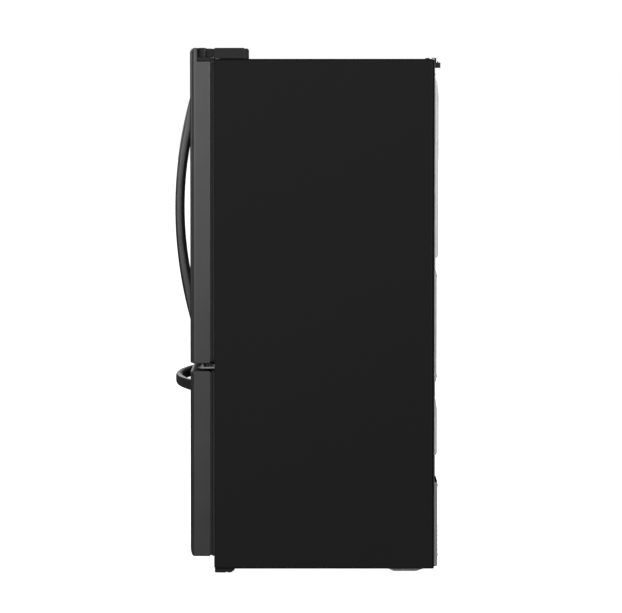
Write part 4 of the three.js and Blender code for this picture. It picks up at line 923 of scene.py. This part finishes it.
# ---- Liners ----
# The insides are formed from sheets of white plastic drawn over a mould, so that every inner
# corner is round. Ledges for the shelves are moulded into the side walls.
white_liner, shader, place = surface(
    "white_liner_plastic", "white_liner", grey(0.8), 0.3, Coat_Weight=0.25, Coat_Roughness=0.2
)
cloud = noise(place, 3.0, 3.0)
peel = noise(place, 260.0, 2.0)
dress(shader, cloud, (grey(0.77, -0.01), grey(0.84)), 0.26 + cloud * 0.1, (peel, 0.04, 0.25))
FRIDGE_HALF, FRIDGE_Z, FRIDGE_BACK = 404.0, (744.0, 1678.0), 372.0
face = (case_y[0], case_y[0] + SHEET)
liner_rings = [
    (407, (742, 1680), FRIDGE_BACK + 2, 24), (407, (742, 1680), face[1], 24),
    (409.7, (738.3, 1690.7), face[1], 3), (409.7, (738.3, 1690.7), face[0], 3),
    (406, (742, 1680), face[0], 22), (404.6, (743.4, 1678.6), face[0] + 0.8, 20),
    (FRIDGE_HALF, FRIDGE_Z, face[0] + 3, 20), (FRIDGE_HALF, FRIDGE_Z, FRIDGE_BACK - 24, 20),
    (402.2, (745.8, 1676.2), FRIDGE_BACK - 14, 20), (397, (751, 1671), FRIDGE_BACK - 6, 18),
    (388, (760, 1662), FRIDGE_BACK - 1, 12), (380, (768, 1654), FRIDGE_BACK, 8),
]
liner = [
    skinned(np.array([
        standing(outline(oblong((-half, half), z), corner, steps=6), level, "y")
        for half, z, level, corner in liner_rings
    ]))
]
for shelf in ("crisper_cover", "lower_shelf", "upper_shelf"):
    rest = spans(shelf)[2][1] - 14.3
    for side in (-1, 1):
        reach = sorted((side * (FRIDGE_HALF + 1), side * (FRIDGE_HALF - 10)))
        liner.append(bar(reach, (-170, FRIDGE_BACK - 8), (rest - 12, rest), 2.5, 4.0, "y"))
piece("fridge_inner_liner", liner, white_liner, "cabinet", ["fridge_liner"])
finished(white_liner, "freezer_liner", "evaporator_cover")

foam, shader, place = surface("insulation_foam", "insulation_foam", (0.72, 0.6, 0.3, 1.0), 0.85)
cells = noise(place, 500.0, 3.0)
dress(
    shader, cells, ((0.62, 0.5, 0.24, 1.0), (0.8, 0.7, 0.4, 1.0)), 0.8 + cells * 0.15,
    (cells, 0.4, 0.5),
)
# The foam between shell and liners, as slabs: the back, the floor, the shelf between the two
# compartments, the step over the machine space and the roof, and then the side walls.
FOAM_X, FOAM_FRONT, FOAM_TOP = within(case_x, 2.9), -300.0, case_z[1] - 3
MACHINE_FRONT, MACHINE_TOP = 198.0, 300.0
slabs = [
    ((FRIDGE_BACK + 4, case_y[1] - 3.0), (MACHINE_TOP, FOAM_TOP)),
    ((FOAM_FRONT, MACHINE_FRONT), (20.0, 91.0)),
    ((FOAM_FRONT, FRIDGE_BACK), (654.0, 736.0)),
    ((160.0, MACHINE_FRONT), (93.0, 338.0)),
    ((200.0, FRIDGE_BACK), (MACHINE_TOP, 336.0)),
    ((FOAM_FRONT, FRIDGE_BACK), (1684.0, FOAM_TOP)),
]
foam_fill = [bar(FOAM_X, y, z, 2.0) for y, z in slabs]
for half, back, z in (
    (396.0, MACHINE_FRONT, (20.0, MACHINE_TOP)),
    (396.0, FRIDGE_BACK, (MACHINE_TOP, 700.0)),
    (411.0, FRIDGE_BACK, (700.0, 1730.0)),
):
    for side in (-1, 1):
        across = sorted((side * half, side * FOAM_X[1]))
        foam_fill.append(bar(across, (FOAM_FRONT, back), z, 2.0))
piece("foam_fill", foam_fill, foam, "cabinet", ["foam_insulation"])

# ---- Inner doors ----
# Each door's inside is a white formed panel with a raised hoop that holds the bins on pegs.
# A dark frame round it carries the seal.
hoop_x, hoop_z = (43.0, 372.0), (766.0, 1656.0)
HOOP_WALL, HOOP_BACK = 14.0, door_y[1] + 45.0
door_back = door_y[1]
hoop_form = [
    (0, door_back - 1), (0.6, door_back + 4), (1.6, HOOP_BACK - 5), (2.6, HOOP_BACK - 1.8),
    (5.0, HOOP_BACK), (9.0, HOOP_BACK), (11.4, HOOP_BACK - 1.8), (12.4, HOOP_BACK - 5),
    (13.4, door_back + 4), (HOOP_WALL, door_back - 1),
]
panel = [(1.5, -8), (1.5, -0.6), (2.1, 0), (30, 0), (33, -0.3), (34, -0.3)]
panel = lifted(panel, door_back)
inner_door = [
    stacked(oblong(door_x, (door_z[0] + 1, DOOR_BODY_TOP - 1)), 4.0, panel, "y"),
    stacked(oblong(hoop_x, hoop_z), 22.0, hoop_form, "y", hoop=True, steps=8),
]
for z in (800.0, 1231.0):
    for x in within(hoop_x, HOOP_WALL - 2):
        inner_door.append(
            bar((x - 3, x + 3), (door_back - 1, door_back + 30), (z - 5, z + 60), 2.0, 2.5, "y")
        )
both_sides("SIDE_inner_panel", inner_door, white_liner, "SIDE_door", ["SIDE_door_liner"])
rim = [(0, -0.5), (0, 7.6), (1, 8.6), (4, 8.6), (5, 7.6), (5, -0.5)]
rim = lifted(rim, door_back)
frame_z = within((door_z[0], DOOR_BODY_TOP), 3)
seal_frame = stacked(oblong(within(door_x, 3), frame_z), 4.0, rim, "y", hoop=True)
both_sides("SIDE_seal_frame", seal_frame, dark_plastic, "SIDE_door")

PLUG_X, PLUG_Z = (-342, 342), (115, 630)
plug = [(0, -1), (0, 6), (2, 10.5), (6, 12), (40, 12), (44, 10), (48, 10)]
drawer_inside = [
    stacked(oblong(drawer_x, within(drawer_z, 4, 2)), 4.0, panel, "y"),
    stacked(oblong(PLUG_X, PLUG_Z), 16.0, lifted(plug, door_back), "y", steps=6),
]
piece("drawer_inner_panel", drawer_inside, white_liner, "freezer_drawer", ["drawer_liner"])
drawer_rim = stacked(oblong(within(drawer_x, 3), within(drawer_z, 3)), 4.0, rim, "y", hoop=True)
piece("drawer_seal_frame", drawer_rim, dark_plastic, "freezer_drawer")

# ---- Door bins ----
# Clear moulded bins with a drawn-in foot, a rolled rim and a white band round the front. They
# hang on the pegs of the inner doors.
clear_plastic, shader, place = surface(
    "clear_moulded_plastic", "clear_plastic", (0.88, 0.93, 0.95, 1.0), 0.12, IOR=1.49, Alpha=0.42
)
haze = noise(place, 20.0, 3.0)
feed(
    shader, Base_Color=blend(haze, (0.84, 0.9, 0.93, 1.0), (0.92, 0.96, 0.98, 1.0)),
    Roughness=0.08 + haze * 0.1, Alpha=0.36 + haze * 0.12,
)


def tub(x, y, z, wall, corner, draw=4.0):
    """A moulded tub: outside from a drawn-in foot up to the rim, over it, and down inside."""
    lift = z[0] + wall
    profile = [
        (draw + 4, z[0]), (draw + 1.2, z[0] + 1.2), (draw, z[0] + 4), (0.4, z[1] - 6),
        (0, z[1] - 3), (0.2, z[1] - 0.6), (wall / 2, z[1]), (wall - 0.2, z[1] - 0.6),
        (wall + 0.4, z[1] - 6), (wall + draw, lift + 4), (wall + draw + 1.2, lift + 1.2),
        (wall + draw + 4, lift),
    ]
    return stacked(oblong(x, y), corner, profile, "z", steps=6)


def door_bin(name, node, body):
    """One bin and its band."""
    x, y, z = spans(node)
    piece(name, tub(x, y, z, 2.5, 12.0), clear_plastic, body, [node])
    band = lifted([(0, -26), (0, -8), (0.8, -7), (0.8, -27)], z[1])
    trim = stacked(oblong(within(x, -1.2), (y[0] + 30, y[1] + 1.2)), 12.5, band, "z", True, 6)
    piece(f"{name}_band", trim, white_liner, body)


for side in ("right", "left"):
    for level in ("lower", "upper"):
        door_bin(f"{side}_{level}_door_bin", f"{side}_{level}_bin", f"{side}_door")

# ---- Mullion flap ----
# A heated plastic bar on the left door. It folds back against the bins when the door opens,
# and a cam turns it flat to close the gap behind the two seals.
flap_x, flap_y, flap_z = spans("mullion_flap")
flap = [
    bar(flap_x, flap_y, flap_z, 1.5, 8.0, "z"),
    bar((flap_x[1] - 1, flap_x[1] + 0.6), within(flap_y, 16, 8), within(flap_z, 20), 0.5),
    bar(
        within(flap_x, 5), (flap_y[0] + 8, flap_y[0] + 26), (flap_z[1] - 3, flap_z[1] + 1.5), 1.0,
        4.0, "z",
    ),
]
piece("folding_mullion", flap, white_liner, "mullion_flap", ["mullion_flap"])
LEAF_X, KNUCKLE_AT = (-44.0, -26.0), (-25.0, -312.9)
knuckle = [(0.3, -20), (4, -20), (4.5, -19), (4.5, 19), (4, 20), (0.3, 20)]
hinge_leaf = []
for z in (flap_z[0] + 60, sum(flap_z) / 2, flap_z[1] - 60):
    hinge_leaf += [
        bar(LEAF_X, (door_back - 1, door_back + 6), (z - 22, z + 22), 1.2, 2.0),
        turned(lifted(knuckle, z), KNUCKLE_AT, around=20),
    ]
piece("mullion_hinges", hinge_leaf, dark_plastic, "left_door")

# ---- Shelves ----
# Tempered glass set in a white moulded surround with a deeper lip along the front.
shelf_glass, shader, place = surface(
    "tempered_glass", "shelf_glass", (0.75, 0.9, 0.86, 1.0), 0.04, IOR=1.5, Alpha=0.38
)
tint = noise(place, 6.0, 2.0)
feed(
    shader, Base_Color=blend(tint, (0.7, 0.87, 0.83, 1.0), (0.8, 0.94, 0.9, 1.0)),
    Roughness=0.03 + tint * 0.04,
)

SURROUND_DEPTH = 14.0


def glass_shelf(name, node, rail=None):
    """Glass and surround of one shelf, and the rail under it."""
    x, y, z = spans(node)
    z = (z[1] - SURROUND_DEPTH, z[1])
    pane = bar(within(x, 10), within(y, 12, 8), (z[1] - 5.5, z[1] - 0.8), 0.6, 3.0, "z")
    piece(f"{name}_glass", pane, shelf_glass, "cabinet", [node])
    lip = [(0, z[0]), (0, z[1] - 1.5), (1.5, z[1]), (12, z[1]), (13, z[1] - 0.8), (13, z[0] + 6)]
    lip += [(4, z[0] + 5), (3, z[0])]
    parts = [stacked(oblong(x, y), 8.0, lip, "z", hoop=True)]
    parts.append(bar(within(x, 4), (y[0] + 3, y[0] + 24), within(z, 0.5, 0.6), 2.0, 4.0, "x"))
    if rail:
        parts.append(bar((-4, 4), rail[0], rail[1], 1.0, 1.5, "y"))
        parts.append(bar((-9, 9), rail[0], (z[0] - 3, z[0] + 2), 1.0, 1.5, "y"))
    piece(f"{name}_surround", parts, white_liner, "cabinet")


glass_shelf("lower_shelf", "lower_shelf")
glass_shelf("upper_shelf", "upper_shelf")
cover_low = spans("crisper_cover")
rail_span = (cover_low[1][0] + 10, cover_low[1][1])
glass_shelf("crisper_lid", "crisper_cover", (rail_span, (745.0, cover_low[2][1] - 10)))

# ---- Crispers ----
# Two deep drawers of the same clear plastic under the lowest glass, each with a white grip
# rail.
for body in ("right_crisper", "left_crisper"):
    x, y, z = spans(body)
    piece(f"{body}_tub", tub(x, y, z, 3.0, 16.0, 6.0), clear_plastic, body, [body])
    grip = [
        bar(within(x, 14), (y[0] + 0.3, y[0] + 6), (z[1] - 34, z[1] - 4), 2.4, 6.0, "y"),
        bar(within(x, 40), (y[0] + 1, y[0] + 14), (z[1] - 12, z[1] - 5), 2.0, 2.5, "x"),
    ]
    piece(f"{body}_grip", grip, white_liner, body)

# ---- Air duct and lamp ----
# A moulded tower on the back wall spreads the cold air through slot openings beside each shelf,
# shown as strips of painted shade. A lens over a strip of lamps runs across the top.
duct_x, duct_y, duct_z = spans("air_duct")
tower = [
    (duct_x[0], duct_y[1]), (duct_x[0] + 14, duct_y[0]), (duct_x[1] - 14, duct_y[0]),
    (duct_x[1], duct_y[1]),
]
duct = [stacked(tower, [1.0, 8.0, 8.0, 1.0], eased(*duct_z, 2.5), "z", steps=6)]
slot_z = [
    z
    for base in (duct_z[0] + 60, duct_z[0] + 260, duct_z[1] - 110)
    for z in base + 14 * np.arange(5)
]
duct += [
    bar((-60, 60), (duct_y[0] - 1.4, duct_y[0] + 2), (z + 3, z + 6.5), 1.2, 1.5, "x")
    for z in slot_z
]
piece("air_tower", duct, white_liner, "cabinet", ["air_duct"])
# Painted shade: a dark strip under each louvre stands for the shadowed inside of a slot opening.
slot_shade_strips = [
    bar((-56, 56), (duct_y[0] - 0.3, duct_y[0] + 1), (z - 3, z + 2.6), 0.25, 2.0, "y")
    for z in slot_z
]
piece("air_slot_shade_strips", slot_shade_strips, dark_plastic, "cabinet")

lens_plastic, shader, place = surface(
    "lamp_lens", "clear_plastic", grey(0.85), 0.35, Coat_Weight=0.5
)
prism_line = place.node("TexWave", {"wave_type": "BANDS"}, {"Vector": place, "Scale": 90.0}, "Fac")
dress(shader, prism_line, (0.78, 0.9), 0.3 + prism_line * 0.1, (prism_line, 0.2, 0.4))
LAMP_X, LAMP_Y, LAMP_Z = (-170, 170), (-220, -188), (1669.5, 1677.8)
lamp = bar(LAMP_X, LAMP_Y, LAMP_Z, 2.5, 6.0, "z")
piece("ceiling_lamp", lamp, lens_plastic, "cabinet")

# ---- Freezer drawer ----
# Welded wire basket on the drawer's telescopic slides, and a shallower tray above it.
coated_wire, shader, place = surface("coated_wire", "coated_wire", grey(0.62), 0.35)
dip = noise(place, 60.0, 3.0)
dress(shader, dip, (0.56, 0.68), 0.28 + dip * 0.14, (dip, 0.06, 0.4))


def wire(path, normal, radius=1.6, around=6, hoop=False):
    """A round wire along a flat path: at each point a circle stands square to the mean of the
    two spans beside it, on the axes (normal) and (normal x direction)."""
    path = np.asarray(path, float)
    if hoop:
        ahead = np.roll(path, -1, 0) - np.roll(path, 1, 0)
    else:
        ahead = np.gradient(path, axis=0)
    ahead /= np.linalg.norm(ahead, axis=1)[:, None]
    normal = np.asarray(normal, float)
    side = np.cross(normal, ahead)
    angle = np.linspace(0, 2 * np.pi, around, endpoint=False)
    ring = np.cos(angle)[None, :, None] * normal + np.sin(angle)[None, :, None] * side[:, None]
    return skinned(path[:, None] + radius * ring, hoop)


def cradle(a, low, high, bend=8.0):
    """A U from a rim down one wall, along the floor and up the other wall: its (across,
    height) points, with an arc at both floor corners."""
    corners = [(a[0], high), (a[0], low), (a[1], low), (a[1], high)]
    line = outline(corners, [0.5, bend, bend, 0.5], steps=4)
    return np.vstack([[corners[0]], line[5:15], [corners[3]]])


bx, by, bz = spans("freezer_basket")
wire_x, wire_y = within(bx, 2.0), within(by, 2.0)
rim_line = outline(oblong(wire_x, wire_y), 14.0, steps=5)
basket = [
    wire(standing(rim_line, bz[1] - drop, "z"), (0, 0, 1), size, 8, True)
    for drop, size in ((3, 3.0), (60, 1.8), (120, 1.8), (180, 1.8))
]
crossing = cradle(wire_x, bz[0] + 3.4, bz[1] - 3)
basket += [
    wire(standing(crossing, y, "y"), (0, 1, 0)) for y in np.linspace(*within(by, 16), 19)
]
running = cradle(wire_y, bz[0] + 6.4, bz[1] - 3)
basket += [wire(standing(running, x, "x"), (1, 0, 0)) for x in np.linspace(*within(bx, 16), 31)]
piece("wire_basket", basket, coated_wire, "freezer_drawer", ["freezer_basket"])

tx, ty, tz = spans("upper_basket")
tray = tub(tx, ty, tz, 4.0, 18.0, 6.0)
piece("upper_tray", tray, clear_plastic, "upper_basket", ["upper_basket"])
tray_grip = [
    bar(within(tx, 60), (ty[0] + 0.5, ty[0] + 8), (tz[1] - 40, tz[1] - 6), 2.6, 8.0, "y"),
    bar(within(tx, 120), (ty[0] + 1, ty[0] + 16), (tz[1] - 13, tz[1] - 7), 2.2, 2.6, "x"),
]
piece("upper_tray_grip", tray_grip, white_liner, "upper_basket")

finished(zinc_steel, "right_drawer_rail", "left_drawer_rail", "drawer_frame")

# ---- Freezer fan and evaporator ----
# The fan draws air over the finned evaporator and blows it through a wire guard. Both are
# fixed behind the white cover, which has a moulded grille low on each side.
finished(dark_plastic, "evaporator_fan", "condenser_fan")
cover_y0 = spans("evaporator_cover")[1][0]
circle = np.linspace(0, 2 * np.pi, 40, endpoint=False)
FAN_Z = 585
guard = []
for r in (54.0, 44.0, 34.0, 24.0, 14.0):
    ring = np.column_stack([r * np.cos(circle), FAN_Z + r * np.sin(circle)])
    guard.append(wire(standing(ring, cover_y0 - 1.6, "y"), (0, 1, 0), 1.2, 6, True))
for turn in np.arange(4) * np.pi / 4:
    arm = np.linspace(-56, 56, 5)[:, None] * np.array([math.cos(turn), 0, math.sin(turn)])
    guard.append(wire(arm + (0, cover_y0 - 2.6, FAN_Z), (0, 1, 0), 1.3))
piece("fan_guard", guard, coated_wire, "cabinet")
grille = [
    bar((x - 34, x + 34), (cover_y0 - 1.2, cover_y0 + 1), (z, z + 6), 1.0, 2.8, "y")
    for x in (-280, -190, 190, 280)
    for z in np.arange(370, 440, 14)
]
piece("return_air_grille", grille, white_liner, "cabinet")

fin_aluminium, shader, place = surface("fin_aluminium", "fin_aluminium", grey(0.62), 0.34, 1.0)
roll = noise(place, 300.0, 2.0, (1.0, 0.05, 1.0))
dress(shader, roll, (0.54, 0.72), 0.28 + roll * 0.14, (roll, 0.03, 0.3))
ex, ey, ez = spans("evaporator")
fins = [
    bar((x, x + 0.8), within(ey, 1), within(ez, 2), 0.15)
    for x in np.arange(ex[0] + 14, ex[1] - 14, 7.5)
]
for y in within(ey, 12):
    rows = np.linspace(*within(ez, 12), 6)
    run = outline(oblong(within(ex, 5), rows[:2]), 9.0)
    for z in rows[::2]:
        tube = standing(run - (0, rows[0]) + (0, z), y, "y")
        fins.append(wire(tube, (0, 1, 0), 4.0, 10, True))
piece("finned_evaporator", fins, fin_aluminium, "cabinet", ["evaporator"])

# ---- Machinery ----
# A hermetic compressor stands on rubber bushes in a drawn and welded shell, enamelled black
# like the folded condenser, with a box of terminals at its side.
black_enamel, shader, place = surface(
    "black_enamel", "black_enamel", grey(0.012), 0.25, Coat_Weight=0.4
)
orange_peel = noise(place, 220.0, 2.0)
dress(shader, orange_peel, (0.009, 0.018), 0.2 + orange_peel * 0.12, (orange_peel, 0.06, 0.4))
finished(black_enamel, "condenser_coil")
at, low = (-227.0, 318.5), 31.0
RADIUS, HEIGHT = 74.0, 165.0
pot = [
    (0.3, -2), (50, -2), (60, 0), (67, 6), (71, 18), (73, 40), (RADIUS, 64), (RADIUS + 2.8, 70),
    (RADIUS + 2.8, 78), (RADIUS, 84), (72.8, 108), (70, 128), (64, 142), (54, 153), (40, 160),
    (24, 163.6), (0.3, HEIGHT),
]
bush = [(0.3, -12), (11, -12), (12, -9), (9, -5), (12, -1), (10, 3), (0.3, 3)]
base_x, base_y = (at[0] - 90, at[0] + 90), (at[1] - 60, at[1] + 60)
terminal_x = (at[0] + 62, spans("compressor")[0][1])
shell = [
    turned(lifted(pot, low), at, around=56),
    bar(base_x, base_y, (low - 11, low - 7), 1.2, 12.0, "z"),
    bar(terminal_x, (at[1] - 27, at[1] + 27), (low + 51, low + 107), 4.0, 6.0, "x"),
]
for foot in [(at[0] + x, at[1] + y) for x in (-78, 78) for y in (-48, 48)]:
    shell.append(turned(lifted(bush, low), foot, around=24))
piece("compressor_shell", shell, black_enamel, "cabinet", ["compressor"])
